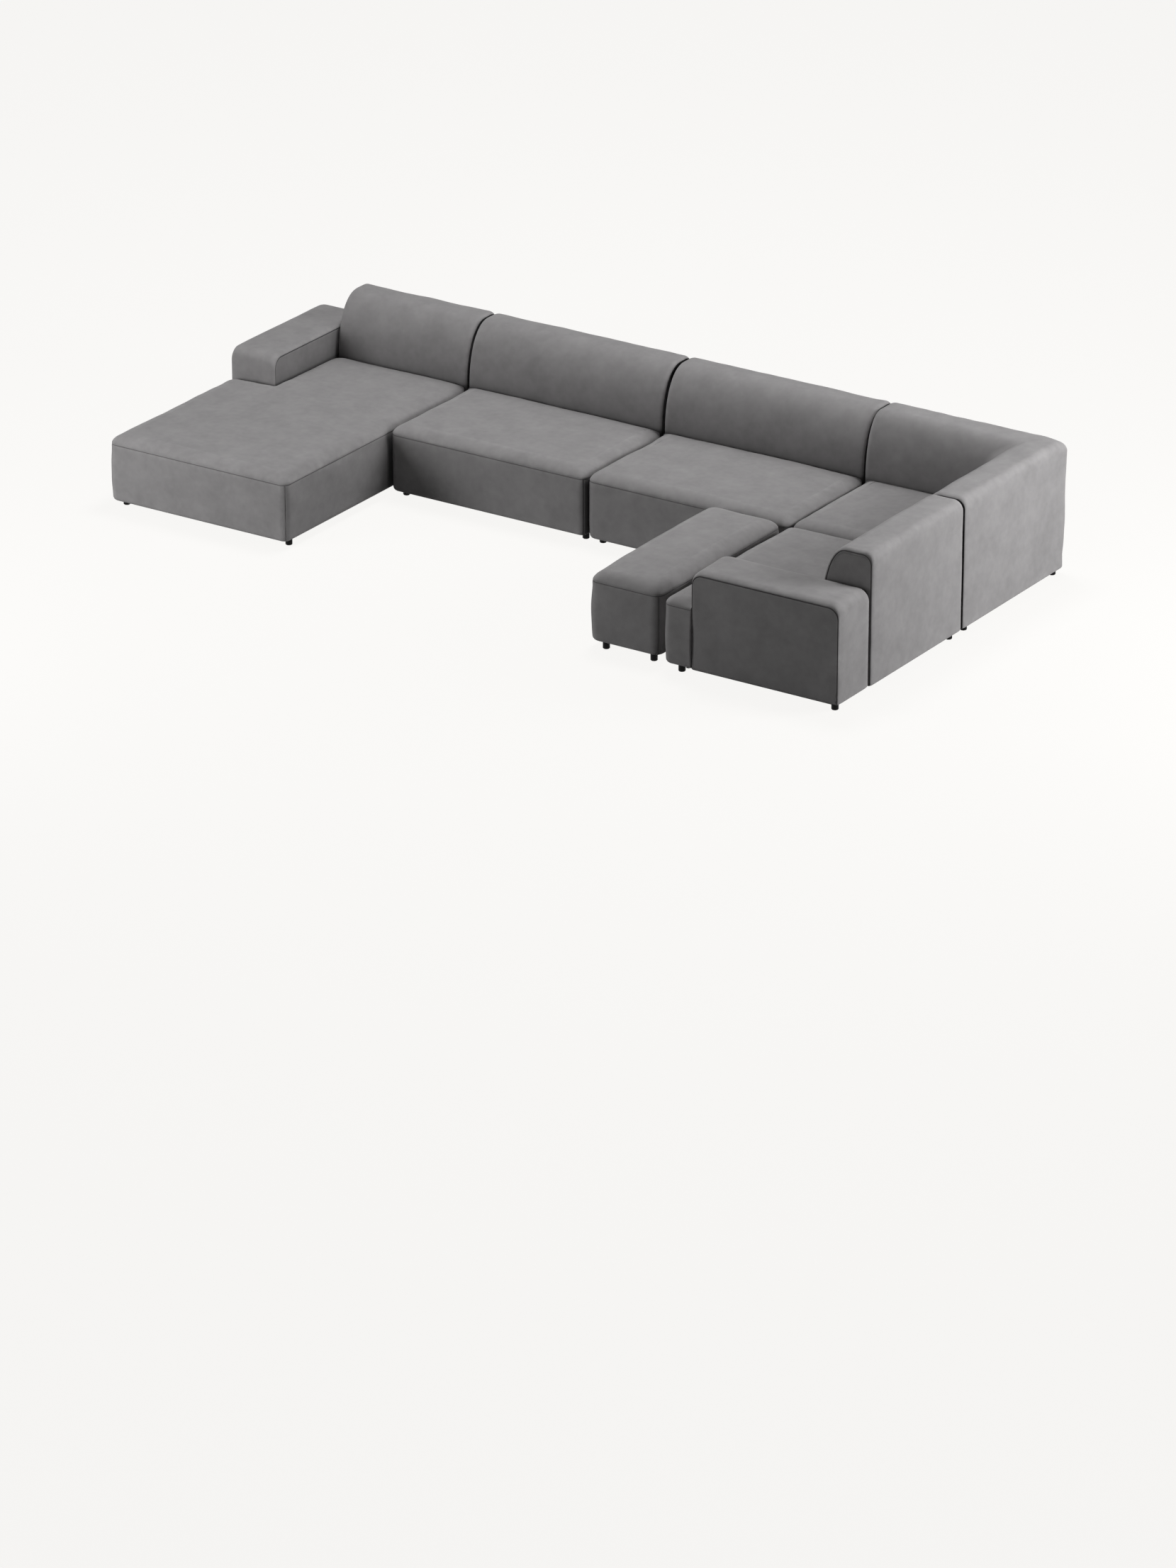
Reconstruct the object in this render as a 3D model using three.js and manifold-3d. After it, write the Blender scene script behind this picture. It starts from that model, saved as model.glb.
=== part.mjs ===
// A modular corner sofa: a chaise, two seats, a corner, an end seat and a loose ottoman.
// Units are millimetres. X runs from the chaise to the corner, Y to the rear and Z up.
// The origin is on the floor, under the middle of the whole sofa.
// Each module is built in its own frame: x from its left side as seen from the front,
// y from its rear plane and negative towards the front, z from the floor.

import * as THREE from 'three';
import { mergeVertices } from 'three/addons/utils/BufferGeometryUtils.js';
import Module from 'manifold-3d';

const wasm = await Module();
wasm.setup();

// Modules
const moduleDepth = 1053;
const seatWidth = 1262;
const chaiseSeatWidth = 868;
const chaiseLength = 1991;
const endSeatWidth = 914;
const armWidth = 291;
const armSideInset = 9;
const armSetback = 178;
const armBackGap = 14;
const moduleGap = 8;

// Ottoman
const ottomanWidth = 446;
const ottomanLength = 1170;
const ottomanLift = 4;
const ottomanSideGap = 35;
const ottomanRearGap = 3;

// Heights
const footHeight = 40;
const seatSeamHeight = 362;
const seatEdgeHeight = 411;
const seatCrown = 12;
const ottomanCrown = 24;
const armHeight = 578;
const backHeight = 751;

// Seat upholstery
const seatCornerRadius = 46;
const ottomanCornerRadius = 62;
const bottomDraw = 2;
const bottomRound = 10;
const seamDraw = 3;
const seatRoll = 76;
const rearTuck = 40;
const crownCore = 30;
const bellyShare = 0.5;

// Back upholstery
const backDepth = 306;
const backRidge = 110;
const backKneeHeight = 393;
const backCurvePower = 2.2;
const backRearRadius = 28;
const backOuterRadius = 20;
const backEndRound = 60;
const backEndDraw = 24;
const cornerEndDraw = 6;
const backRearDrawShare = 0.35;
const backTopDrawShare = 0.5;

// Arm upholstery
const armFrontRadius = 40;
const armRearRadius = 60;
const armBottomRadius = 12;
const armEdgeRound = 45;
const armEdgeDraw = 22;
const armFaceDrawShare = 0.35;

// Timber frames
const padThickness = 34;
const railThickness = 22;
const railHeight = 150;
const blockSize = 90;
const blockHeight = 40;
const openingSpan = 420;
const uprightWidth = 45;
const uprightDepth = 40;
const uprightSetback = 60;
const backFrameHeight = 650;
const topRailHeight = 60;
const middleRailHeight = 40;
const middleRailLevel = 410;
const armTopPad = 60;
const armTopRailHeight = 50;
const armPostSize = 45;

// Webbing
const beltWidth = 60;
const beltThickness = 3;
const beltPitch = 300;

// Feet
const footDiameter = 38;
const footChamfer = 3;
const footSideInset = 50;
const footFrontInset = 90;
const footRearInset = 50;
const ottomanFootLeft = 90;
const ottomanFootRight = 66;

// Joining plates and their studs
const plateLength = 130;
const plateWidth = 40;
const plateThickness = 3;
const plateSetback = 600;
const studRadius = 5;
const studHeadRadius = 9;
const studHeadHeight = 2;
const studRoot = 8;
const slotClearance = 1.5;

// Clearances and cuts
const fit = 0.3;
const softGap = 0.6;
const overrun = 20;

// Smoothness
const cornerSteps = 4;
const rollSteps = 4;
const crownSteps = 3;
const endSteps = 4;
const backCurveSteps = 8;
const footSides = 16;

// Sizes that follow from the ones above
const halfGap = moduleGap / 2;
const armSpace = armSideInset + armWidth;
const chaiseWidth = armSpace + chaiseSeatWidth;
const endWidth = endSeatWidth + armSpace;
const armLength = moduleDepth - armSetback;
const rowLength = chaiseWidth + 2 * seatWidth + moduleDepth;
const wingLength = moduleDepth + endWidth;
const seatRear = -(backDepth + softGap);
const frameMeeting = -(backDepth + softGap / 2);
const deckBottom = footHeight + railHeight + fit;
const deckTop = deckBottom + beltThickness;
const studOffset = halfGap + padThickness + railThickness / 2;

// Finishes
const finishes = {
  fabric: { color: 0x8c8a8b, roughness: 0.95, metalness: 0 },
  timber: { color: 0xc9a877, roughness: 0.8, metalness: 0 },
  webbing: { color: 0x3b3a3c, roughness: 0.9, metalness: 0 },
  plastic: { color: 0x121213, roughness: 0.5, metalness: 0 },
  steel: { color: 0x8f9296, roughness: 0.4, metalness: 1 },
};

// Solids

function toSolid(geometry) {
  const bare = new THREE.BufferGeometry();
  bare.setAttribute('position', geometry.getAttribute('position'));
  bare.setIndex(geometry.getIndex());
  const merged = mergeVertices(bare);
  const index = merged.getIndex().array;
  const corners = [];
  for (let i = 0; i < index.length; i += 3) {
    const [a, b, c] = [index[i], index[i + 1], index[i + 2]];
    if (a !== b && b !== c && c !== a) corners.push(a, b, c);
  }
  const mesh = new wasm.Mesh({
    numProp: 3,
    vertProperties: new Float32Array(merged.getAttribute('position').array),
    triVerts: new Uint32Array(corners),
  });
  return new wasm.Manifold(mesh);
}

function toGeometry(solid) {
  const mesh = solid.getMesh();
  const geometry = new THREE.BufferGeometry();
  geometry.setAttribute('position', new THREE.BufferAttribute(new Float32Array(mesh.vertProperties), 3));
  geometry.setIndex(new THREE.BufferAttribute(new Uint32Array(mesh.triVerts), 1));
  geometry.computeVertexNormals();
  return geometry;
}

function piece(name, solid, finish) {
  const mesh = new THREE.Mesh(toGeometry(solid), new THREE.MeshStandardMaterial(finishes[finish]));
  mesh.name = name;
  return mesh;
}

function join(solids) {
  return solids.reduce((whole, solid) => whole.add(solid));
}

// A box is a list of its low and high x, y and z
function boxSolid([x0, x1, y0, y1, z0, z1]) {
  const box = new THREE.BoxGeometry(x1 - x0, y1 - y0, z1 - z0);
  box.translate((x0 + x1) / 2, (y0 + y1) / 2, (z0 + z1) / 2);
  return toSolid(box);
}

function joinBoxes(boxes) {
  return join(boxes.map(boxSolid));
}

// Closes a stack of rings of equally many points into a solid, with a fan over each end
function loft(rings) {
  const count = rings[0].length;
  const points = rings.flat();
  const index = [];
  for (let ring = 0; ring + 1 < rings.length; ring += 1) {
    for (let i = 0; i < count; i += 1) {
      const next = (i + 1) % count;
      const [a, b] = [ring * count + i, ring * count + next];
      const [c, d] = [b + count, a + count];
      index.push(a, b, c, a, c, d);
    }
  }
  const lastStart = (rings.length - 1) * count;
  const firstCentre = points.length;
  const lastCentre = firstCentre + 1;
  points.push(middle(rings[0]), middle(rings.at(-1)));
  for (let i = 0; i < count; i += 1) {
    const next = (i + 1) % count;
    index.push(firstCentre, next, i);
    index.push(lastCentre, lastStart + i, lastStart + next);
  }
  const geometry = new THREE.BufferGeometry().setFromPoints(points);
  geometry.setIndex(index);
  return toSolid(geometry);
}

function middle(ring) {
  const centre = new THREE.Vector3();
  ring.forEach((point) => centre.add(point));
  return centre.divideScalar(ring.length);
}

// Outlines

// Points of a quarter turn or less, from one angle to another, about a centre
function arc(centreX, centreY, radius, from, to, steps) {
  const points = [];
  for (let i = 0; i <= steps; i += 1) {
    const angle = from + ((to - from) * i) / steps;
    points.push([centreX + radius * Math.cos(angle), centreY + radius * Math.sin(angle)]);
  }
  return points;
}

const quarter = Math.PI / 2;

// A rectangle with rounded corners, drawn in by the same amount all round
function roundedRectangle([x0, x1, y0, y1], radius, draw) {
  const r = Math.max(radius - draw, radius / 3);
  const [left, right, front, rear] = [x0 + draw + r, x1 - draw - r, y0 + draw + r, y1 - draw - r];
  return [
    ...arc(right, front, r, -quarter, 0, cornerSteps),
    ...arc(right, rear, r, 0, quarter, cornerSteps),
    ...arc(left, rear, r, quarter, 2 * quarter, cornerSteps),
    ...arc(left, front, r, 2 * quarter, 3 * quarter, cornerSteps),
  ];
}

// The steps of a quarter ellipse that starts steep: how far along it is, and how far in it still is
function easedEdge(along, depth, steps) {
  const stations = [];
  for (let i = 0; i <= steps; i += 1) {
    const angle = (quarter * i) / steps;
    stations.push({ at: along * (1 - Math.cos(angle)), draw: depth * (1 - Math.sin(angle)) });
  }
  return stations;
}

// Such an edge at both ends of a length, each with its own depth
function easedEnds(start, end, along, startDepth, endDepth = startDepth) {
  const first = easedEdge(along, startDepth, endSteps).map(({ at, draw }) => ({ at: start + at, draw }));
  const last = easedEdge(along, endDepth, endSteps).map(({ at, draw }) => ({ at: end - at, draw }));
  return [...first, ...last.reverse()];
}

// Seat upholstery: a block with a rounded foot, a belly, a seam, a rolled edge and a crowned top
function seatBlock(plan, { radius = seatCornerRadius, crown = seatCrown, lift = 0 } = {}) {
  const seam = seatSeamHeight + lift;
  const edge = seatEdgeHeight + lift;
  const levels = [];
  for (let i = 0; i <= 2; i += 1) {
    const angle = (quarter * i) / 2;
    const draw = bottomDraw + bottomRound * (1 - Math.sin(angle));
    levels.push({ z: footHeight + bottomRound * (1 - Math.cos(angle)), draw });
  }
  levels.push({ z: footHeight + (seam - footHeight) * bellyShare, draw: 0 });
  for (let i = 0; i <= rollSteps; i += 1) {
    const angle = (quarter * i) / rollSteps;
    const draw = seamDraw + seatRoll * (1 - Math.cos(angle));
    levels.push({ z: seam + (edge - seam) * Math.sin(angle), draw });
  }
  const rolled = seamDraw + seatRoll;
  const halfWidth = Math.min(plan[1] - plan[0], plan[3] - plan[2]) / 2;
  const reach = halfWidth - rolled - crownCore;
  for (let i = 1; i <= crownSteps; i += 1) {
    const share = i / crownSteps;
    levels.push({ z: edge + crown * (1 - (1 - share) ** 2), draw: rolled + reach * share });
  }
  return loft(levels.map(({ z, draw }) => roundedRectangle(plan, radius, draw)
    .map(([x, y]) => new THREE.Vector3(x, y, z))));
}

// A seat block that keeps its height where it is tucked against a back, by being cut short there
function tuckedSeatBlock([x0, x1, y0, y1], rightTuck = 0) {
  const whole = seatBlock([x0, x1 + rightTuck, y0, y1 + rearTuck]);
  return whole.intersect(boxSolid([x0, x1, y0, y1, 0, backHeight]));
}

// The section of a back, as distance in front of its rear plane and height, from the rear foot up and over
function backSection(draw) {
  const rear = draw * backRearDrawShare;
  const top = backHeight - draw * backTopDrawShare;
  const front = backDepth - draw;
  const points = [[rear + bottomRound, footHeight], [rear, footHeight + bottomRound]];
  arc(rear + backRearRadius, top - backRearRadius, backRearRadius, 2 * quarter, quarter, cornerSteps)
    .forEach((point) => points.push(point));
  for (let i = 0; i <= backCurveSteps; i += 1) {
    const angle = quarter * (1 - i / backCurveSteps);
    const out = Math.cos(angle) ** (2 / backCurvePower);
    const up = Math.sin(angle) ** (2 / backCurvePower);
    points.push([backRidge + (front - backRidge) * out, backKneeHeight + (top - backKneeHeight) * up]);
  }
  points.push([front, footHeight + bottomRound], [front - bottomRound, footHeight]);
  return points;
}

// A straight back from one x to another, whose left end is drawn in by a given depth
function backBlock(x0, x1, leftDraw) {
  return loft(easedEnds(x0, x1, backEndRound, leftDraw, backEndDraw)
    .map(({ at, draw }) => backSection(draw).map(([out, z]) => new THREE.Vector3(at, -out, z))));
}

// The back of the corner: along the rear, round the outer corner and forward along the right side
function cornerBackBlock(x0, y0) {
  const edge = easedEdge(backEndRound, cornerEndDraw, endSteps);
  const rings = edge.map(({ at, draw }) => backSection(draw)
    .map(([out, z]) => new THREE.Vector3(x0 + at, -out, z)));
  for (let i = 0; i <= cornerSteps; i += 1) {
    const angle = (quarter * i) / cornerSteps;
    rings.push(backSection(0).map(([out, z]) => {
      const radius = Math.max(backOuterRadius - out, 0);
      const centre = Math.max(backOuterRadius, out);
      return new THREE.Vector3(
        moduleDepth - centre + radius * Math.sin(angle),
        -centre + radius * Math.cos(angle),
        z,
      );
    }));
  }
  edge.reverse().forEach(({ at, draw }) => rings.push(backSection(draw)
    .map(([out, z]) => new THREE.Vector3(moduleDepth - out, y0 + at, z))));
  return loft(rings);
}

// The side outline of an arm, as y and height, from the rear foot up and over to the front
function armSection(draw) {
  const side = draw * armFaceDrawShare;
  const [rear, front, top] = [-side, side - armLength, armHeight - draw];
  const r = armBottomRadius;
  const turn = (x, y, radius, from) => arc(x, y, radius, from, from + quarter, cornerSteps);
  return [
    ...turn(rear - armRearRadius, top - armRearRadius, armRearRadius, 0),
    ...turn(front + armFrontRadius, top - armFrontRadius, armFrontRadius, quarter),
    ...turn(front + r, footHeight + r, r, 2 * quarter),
    ...turn(rear - r, footHeight + r, r, 3 * quarter),
  ];
}

function armBlock(x0, x1) {
  return loft(easedEnds(x0, x1, armEdgeRound, armEdgeDraw)
    .map(({ at, draw }) => armSection(draw).map(([y, z]) => new THREE.Vector3(at, y, z))));
}

// Timber

// Evenly spaced places from one end to the other, no further apart than the span
function spaced(from, to, span) {
  const count = Math.ceil((to - from) / span);
  return Array.from({ length: count + 1 }, (_, i) => from + ((to - from) * i) / count);
}

// A box of rails with cross rails and corner blocks, standing at the height of the feet
function railBoxes([x0, x1, y0, y1]) {
  const top = footHeight + railHeight;
  const boxes = [
    [x0, x1, y0, y0 + railThickness, footHeight, top],
    [x0, x1, y1 - railThickness, y1, footHeight, top],
  ];
  spaced(x0, x1 - railThickness, openingSpan).forEach((x) => {
    boxes.push([x, x + railThickness, y0, y1, footHeight, top]);
  });
  [x0, x1 - blockSize].forEach((x) => [y0, y1 - blockSize].forEach((y) => {
    boxes.push([x, x + blockSize, y, y + blockSize, footHeight, footHeight + blockHeight]);
  }));
  return boxes;
}

// The plinth, uprights and rails of a back from one x to another, with the plinth's front at a given y
function backFrameBoxes(x0, x1, front) {
  const [y0, y1] = [-uprightSetback - uprightDepth, -uprightSetback];
  const boxes = railBoxes([x0, x1, front, -padThickness]);
  spaced(x0, x1 - uprightWidth, openingSpan).forEach((x) => {
    boxes.push([x, x + uprightWidth, y0, y1, footHeight, backFrameHeight]);
  });
  boxes.push([x0, x1, y0, y1, backFrameHeight - topRailHeight, backFrameHeight]);
  boxes.push([x0, x1, y0, y1, middleRailLevel, middleRailLevel + middleRailHeight]);
  return boxes;
}

// The hollow that a back frame needs, open below and, where the seat frame meets it, at the front
function backPocketBoxes(x0, x1, front) {
  const [left, right, below] = [x0 - fit, x1 + fit, footHeight - overrun];
  const slotFront = -uprightSetback - uprightDepth - fit;
  return [
    [left, right, front, fit - padThickness, below, footHeight + railHeight + fit],
    [left, right, slotFront, fit - uprightSetback, below, backFrameHeight + fit],
  ];
}

// Turns a box of a back that runs along x into one that runs forward along the corner's right side
function turnedBox([x0, x1, y0, y1, z0, z1]) {
  return [moduleDepth + y0, moduleDepth + y1, -x1, -x0, z0, z1];
}

// Belts laid both ways over a frame
function webbingBoxes([x0, x1, y0, y1]) {
  const lengthwise = spaced(x0, x1 - beltWidth, beltPitch)
    .map((x) => [x, x + beltWidth, y0, y1, deckBottom, deckTop]);
  const crosswise = spaced(y0, y1 - beltWidth, beltPitch)
    .map((y) => [x0, x1, y, y + beltWidth, deckBottom, deckTop]);
  return [...lengthwise, ...crosswise];
}

// The hollow under a seat that holds its frame and webbing
function seatPocket([x0, x1, y0, y1]) {
  return [x0 - fit, x1 + fit, y0 - fit, y1 + fit, footHeight - overrun, deckTop + fit];
}

function armFrameBoxes(x0, x1) {
  const [y0, y1] = [padThickness - armLength, -padThickness];
  const top = armHeight - armTopPad;
  const boxes = railBoxes([x0, x1, y0, y1]);
  const postRows = spaced(y0, y1 - armPostSize, openingSpan);
  [x0, x1 - armPostSize].forEach((x) => {
    postRows.forEach((y) => boxes.push([x, x + armPostSize, y, y + armPostSize, footHeight, top]));
    boxes.push([x, x + armPostSize, y0, y1, top - armTopRailHeight, top]);
  });
  postRows.forEach((y) => boxes.push([x0, x1, y, y + armPostSize, top - armTopRailHeight, top]));
  return boxes;
}

// Small hardware

// A shouldered stud under a rail, whose head holds a joining plate up
function stud(x, y) {
  const shoulder = -fit - plateThickness - fit;
  const profile = [
    new THREE.Vector2(0, shoulder - studHeadHeight),
    new THREE.Vector2(studHeadRadius, shoulder - studHeadHeight),
    new THREE.Vector2(studHeadRadius, shoulder),
    new THREE.Vector2(studRadius, shoulder),
    new THREE.Vector2(studRadius, studRoot),
    new THREE.Vector2(0, studRoot),
  ];
  const lathe = new THREE.LatheGeometry(profile, footSides);
  lathe.rotateX(quarter);
  lathe.translate(x, y, footHeight);
  return toSolid(lathe);
}

// A flat plate that runs along x past a module's side, with an open slot for the next module's stud
function joiningPlate() {
  const [half, top] = [plateLength / 2, footHeight - fit];
  const slot = studRadius + slotClearance;
  const plate = boxSolid([-half, half, -plateWidth / 2, plateWidth / 2, top - plateThickness, top]);
  return plate.subtract(boxSolid([studOffset - slot, half + overrun, -slot, slot, 0, footHeight]));
}

function plateMesh(name, x, y, turn) {
  const mesh = piece(name, joiningPlate(), 'steel');
  mesh.position.set(x, y, 0);
  mesh.rotation.z = turn;
  return mesh;
}

function footSolid() {
  const radius = footDiameter / 2;
  const top = footHeight - fit;
  const profile = [
    new THREE.Vector2(0, 0),
    new THREE.Vector2(radius - footChamfer, 0),
    new THREE.Vector2(radius, footChamfer),
    new THREE.Vector2(radius, top),
    new THREE.Vector2(0, top),
  ];
  const lathe = new THREE.LatheGeometry(profile, footSides);
  lathe.rotateX(quarter);
  return toSolid(lathe);
}

// Adds the four feet of a module, each set in from two edges of its plan
function addFeet(group, name, [x0, x1, y0, y1], insets = {}) {
  const { left = footSideInset, right = footSideInset, front = footFrontInset, rear = footRearInset } = insets;
  const places = {
    front_left: [x0 + left, y0 + front],
    front_right: [x1 - right, y0 + front],
    rear_left: [x0 + left, y1 - rear],
    rear_right: [x1 - right, y1 - rear],
  };
  Object.entries(places).forEach(([place, [x, y]]) => {
    const foot = piece(`${name}_foot_${place}`, footSolid(), 'plastic');
    foot.position.set(x, y, 0);
    group.add(foot);
  });
}

// Modules

// The rectangle of a frame inside the upholstery of a plan, whose rear meets the frame behind it
function frameZone([x0, x1, y0]) {
  return [x0 + padThickness, x1 - padThickness, y0 + padThickness, frameMeeting - fit / 2];
}

function addSeat(group, name, upholstery, zones, studs) {
  group.add(piece(`${name}_upholstery`, upholstery.subtract(joinBoxes(zones.map(seatPocket))), 'fabric'));
  group.add(piece(`${name}_base_frame`, join([joinBoxes(zones.flatMap(railBoxes)), ...studs]), 'timber'));
  group.add(piece(`${name}_webbing`, joinBoxes(zones.flatMap(webbingBoxes)), 'webbing'));
}

function addBack(group, name, [x0, x1], leftDraw = backEndDraw) {
  const [left, right] = [x0 + padThickness, x1 - padThickness];
  const pocket = joinBoxes(backPocketBoxes(left, right, -backDepth - overrun));
  const frame = joinBoxes(backFrameBoxes(left, right, frameMeeting + fit / 2));
  group.add(piece(`${name}_back_upholstery`, backBlock(x0, x1, leftDraw).subtract(pocket), 'fabric'));
  group.add(piece(`${name}_back_frame`, frame, 'timber'));
}

function addArm(group, name, [x0, x1]) {
  const [left, right] = [x0 + padThickness, x1 - padThickness];
  const [y0, y1] = [padThickness - armLength, -padThickness];
  const top = armHeight - armTopPad + fit;
  const pocket = boxSolid([left - fit, right + fit, y0 - fit, y1 + fit, footHeight - overrun, top]);
  group.add(piece(`${name}_arm_upholstery`, armBlock(x0, x1).subtract(pocket), 'fabric'));
  group.add(piece(`${name}_arm_frame`, joinBoxes(armFrameBoxes(left, right)), 'timber'));
}

// A straight seat with a back and no arms
function seatModule(name, studs) {
  const group = new THREE.Group();
  const [x0, x1, y0] = [halfGap, seatWidth - halfGap, halfGap - moduleDepth];
  const plan = [x0, x1, y0, seatRear];
  addSeat(group, name, tuckedSeatBlock(plan), [frameZone(plan)], studs);
  addBack(group, name, [x0, x1]);
  addFeet(group, name, [x0, x1, y0, 0]);
  return group;
}

// A seat that runs past the front of an arm: its block is notched, and its frame has two boxes
function armedModule(name, { x0, x1, length, armAtLeft, studs }) {
  const group = new THREE.Group();
  const y0 = halfGap - length;
  const plan = [x0, x1, y0, seatRear];
  const armX = armAtLeft
    ? [x0 + armSideInset, x0 + armSpace]
    : [x1 - armSpace, x1 - armSideInset];
  const restX = armAtLeft ? [armX[1] + softGap, x1] : [x0, armX[0] - softGap];
  const backX = armAtLeft ? [armX[1] + armBackGap, x1] : [x0, armX[0] - armBackGap];
  const notchX = armAtLeft ? [x0 - overrun, restX[0]] : [restX[1], x1 + overrun];
  const notchFront = -armLength - softGap;
  const notch = boxSolid([...notchX, notchFront, overrun, 0, backHeight]);
  const frontRear = notchFront - padThickness;
  const [zoneX0, zoneX1] = [x0 + padThickness, x1 - padThickness];
  const zones = [
    [zoneX0, zoneX1, y0 + padThickness, frontRear],
    [restX[0] + padThickness, restX[1] - padThickness, frontRear - railThickness, frameMeeting - fit / 2],
  ];
  addSeat(group, name, tuckedSeatBlock(plan).subtract(notch), zones, studs);
  addBack(group, name, backX, armAtLeft ? backEndDraw : cornerEndDraw);
  addArm(group, name, armX);
  addFeet(group, name, [x0, x1, y0, 0]);
  return group;
}

function cornerModule(name, studs) {
  const group = new THREE.Group();
  const [x0, y0] = [halfGap, halfGap - moduleDepth];
  const plan = [x0, moduleDepth + seatRear, y0, seatRear];
  addSeat(group, name, tuckedSeatBlock(plan, rearTuck), [frameZone(plan)], studs);

  const [near, far] = [x0 + padThickness, moduleDepth - padThickness];
  const wing = [padThickness, -y0 - padThickness];
  const wingFront = padThickness - backDepth;
  // Open towards the seat, then closed in front where the wing begins
  const pocket = joinBoxes([
    ...backPocketBoxes(near, moduleDepth - backDepth - fit, -backDepth - overrun),
    ...backPocketBoxes(near, far, frameMeeting - fit / 2),
    ...backPocketBoxes(...wing, wingFront - fit).map(turnedBox),
  ]);
  const frame = joinBoxes([
    ...backFrameBoxes(near, far, frameMeeting + fit / 2),
    ...backFrameBoxes(...wing, wingFront).map(turnedBox),
  ]);
  group.add(piece(`${name}_back_upholstery`, cornerBackBlock(x0, y0).subtract(pocket), 'fabric'));
  group.add(piece(`${name}_back_frame`, frame, 'timber'));
  addFeet(group, name, [x0, moduleDepth, y0, 0]);
  return group;
}

function ottomanModule(name) {
  const group = new THREE.Group();
  const plan = [0, ottomanWidth, -ottomanLength, 0];
  const zone = [padThickness, ottomanWidth - padThickness, padThickness - ottomanLength, -padThickness];
  const shape = { radius: ottomanCornerRadius, crown: ottomanCrown, lift: ottomanLift };
  addSeat(group, name, seatBlock(plan, shape), [zone], []);
  addFeet(group, name, plan, { left: ottomanFootLeft, right: ottomanFootRight, front: footSideInset });
  return group;
}

// The whole sofa

const left = -rowLength / 2;
const right = rowLength / 2;
const rear = wingLength / 2;
const seatFront = rear - moduleDepth;

const chaise = armedModule('chaise', {
  x0: 0,
  x1: chaiseWidth - halfGap,
  length: chaiseLength,
  armAtLeft: true,
  studs: [stud(chaiseWidth - studOffset, -plateSetback)],
});
chaise.position.set(left, rear, 0);

const seatOne = seatModule('seat_1', []);
seatOne.position.set(left + chaiseWidth, rear, 0);
seatOne.add(plateMesh('joining_plate_chaise', 0, -plateSetback, Math.PI));
seatOne.add(plateMesh('joining_plate_seat_2', seatWidth, -plateSetback, 0));

const seatTwo = seatModule('seat_2', [stud(studOffset, -plateSetback)]);
seatTwo.position.set(left + chaiseWidth + seatWidth, rear, 0);
seatTwo.add(plateMesh('joining_plate_corner', seatWidth, -plateSetback, 0));

const corner = cornerModule('corner', [stud(studOffset, -plateSetback)]);
corner.position.set(right - moduleDepth, rear, 0);
corner.add(plateMesh('joining_plate_end_seat', moduleDepth - plateSetback, -moduleDepth, -quarter));

const endSeat = armedModule('end_seat', {
  x0: halfGap,
  x1: endWidth,
  length: moduleDepth,
  armAtLeft: false,
  studs: [stud(studOffset, -plateSetback)],
});
endSeat.position.set(right, seatFront, 0);
endSeat.rotation.z = -quarter;

const ottoman = ottomanModule('ottoman');
const ottomanRight = right - moduleDepth - ottomanSideGap;
ottoman.position.set(ottomanRight - ottomanWidth, seatFront - ottomanRearGap, 0);

const sofa = new THREE.Group();
sofa.add(chaise, seatOne, seatTwo, corner, endSeat, ottoman);

export default sofa;
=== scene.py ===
import math

import bmesh
import bpy
import numpy as np
from bpy.props import FloatProperty, FloatVectorProperty, PointerProperty
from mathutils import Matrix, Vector


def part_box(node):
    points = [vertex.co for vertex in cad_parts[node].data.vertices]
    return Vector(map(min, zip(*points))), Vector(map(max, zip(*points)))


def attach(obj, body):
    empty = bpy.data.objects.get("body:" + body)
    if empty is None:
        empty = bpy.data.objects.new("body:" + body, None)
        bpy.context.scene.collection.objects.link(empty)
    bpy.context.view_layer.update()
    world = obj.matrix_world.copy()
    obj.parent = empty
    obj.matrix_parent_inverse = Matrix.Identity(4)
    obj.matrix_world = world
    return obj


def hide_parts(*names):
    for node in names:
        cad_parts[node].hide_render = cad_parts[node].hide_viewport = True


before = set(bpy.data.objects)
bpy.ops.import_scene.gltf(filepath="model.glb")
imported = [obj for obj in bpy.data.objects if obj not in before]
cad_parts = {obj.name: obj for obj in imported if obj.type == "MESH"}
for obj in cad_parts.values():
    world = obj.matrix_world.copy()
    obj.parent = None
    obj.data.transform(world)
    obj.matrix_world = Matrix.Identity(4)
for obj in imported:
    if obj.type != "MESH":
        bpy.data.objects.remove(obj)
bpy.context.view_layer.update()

bl_info = {
    "name": "Modular Corner Sofa",
    "version": (1, 0, 0),
    "blender": (4, 5, 0),
    "location": "View3D > Sidebar > Sofa",
    "description": "Sewn covers, frames, feet and studio of a modular corner sofa",
    "category": "Object",
}

# Lengths are in metres. Steps across a half corner, and the usual length of a step on a cover
corner_steps = 9
cover_step = 0.010

# Levels beside a seam, as distances from it
seam_steps = np.array([0.0008, 0.0016, 0.0026, 0.004, 0.006, 0.009, 0.014, 0.022])

# The padding's swell beside a seam: its height, its distance from the seam and its reach
swell_height = 0.0011
swell_place = 0.011
swell_reach = 0.008

# The fabric and the dust cover are pinched between the rails, at 0.040, and the feet, at 0.0397
bottom_height = 0.03990
dust_cover_height = 0.03980
dust_cover_inset = 0.034
dust_cover_step = 0.05

# A seat: its free corners, the round of its bottom and the hem below it
seat_corner_radius = 0.046
seat_bottom_round = 0.024
hem_width = 0.014

# A seat's hidden sides: the gap at them, the turn of their edge, and how far the seat's form goes on behind
hidden_gap = 0.0005
hidden_turn = 0.010
seat_tuck = 0.040

# Radii of a seat's corners between two hidden sides, beside one, and of the inner loop at both
both_hidden_radius = 0.006
one_hidden_radius = 0.008
hidden_inner_radius = 0.004

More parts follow.
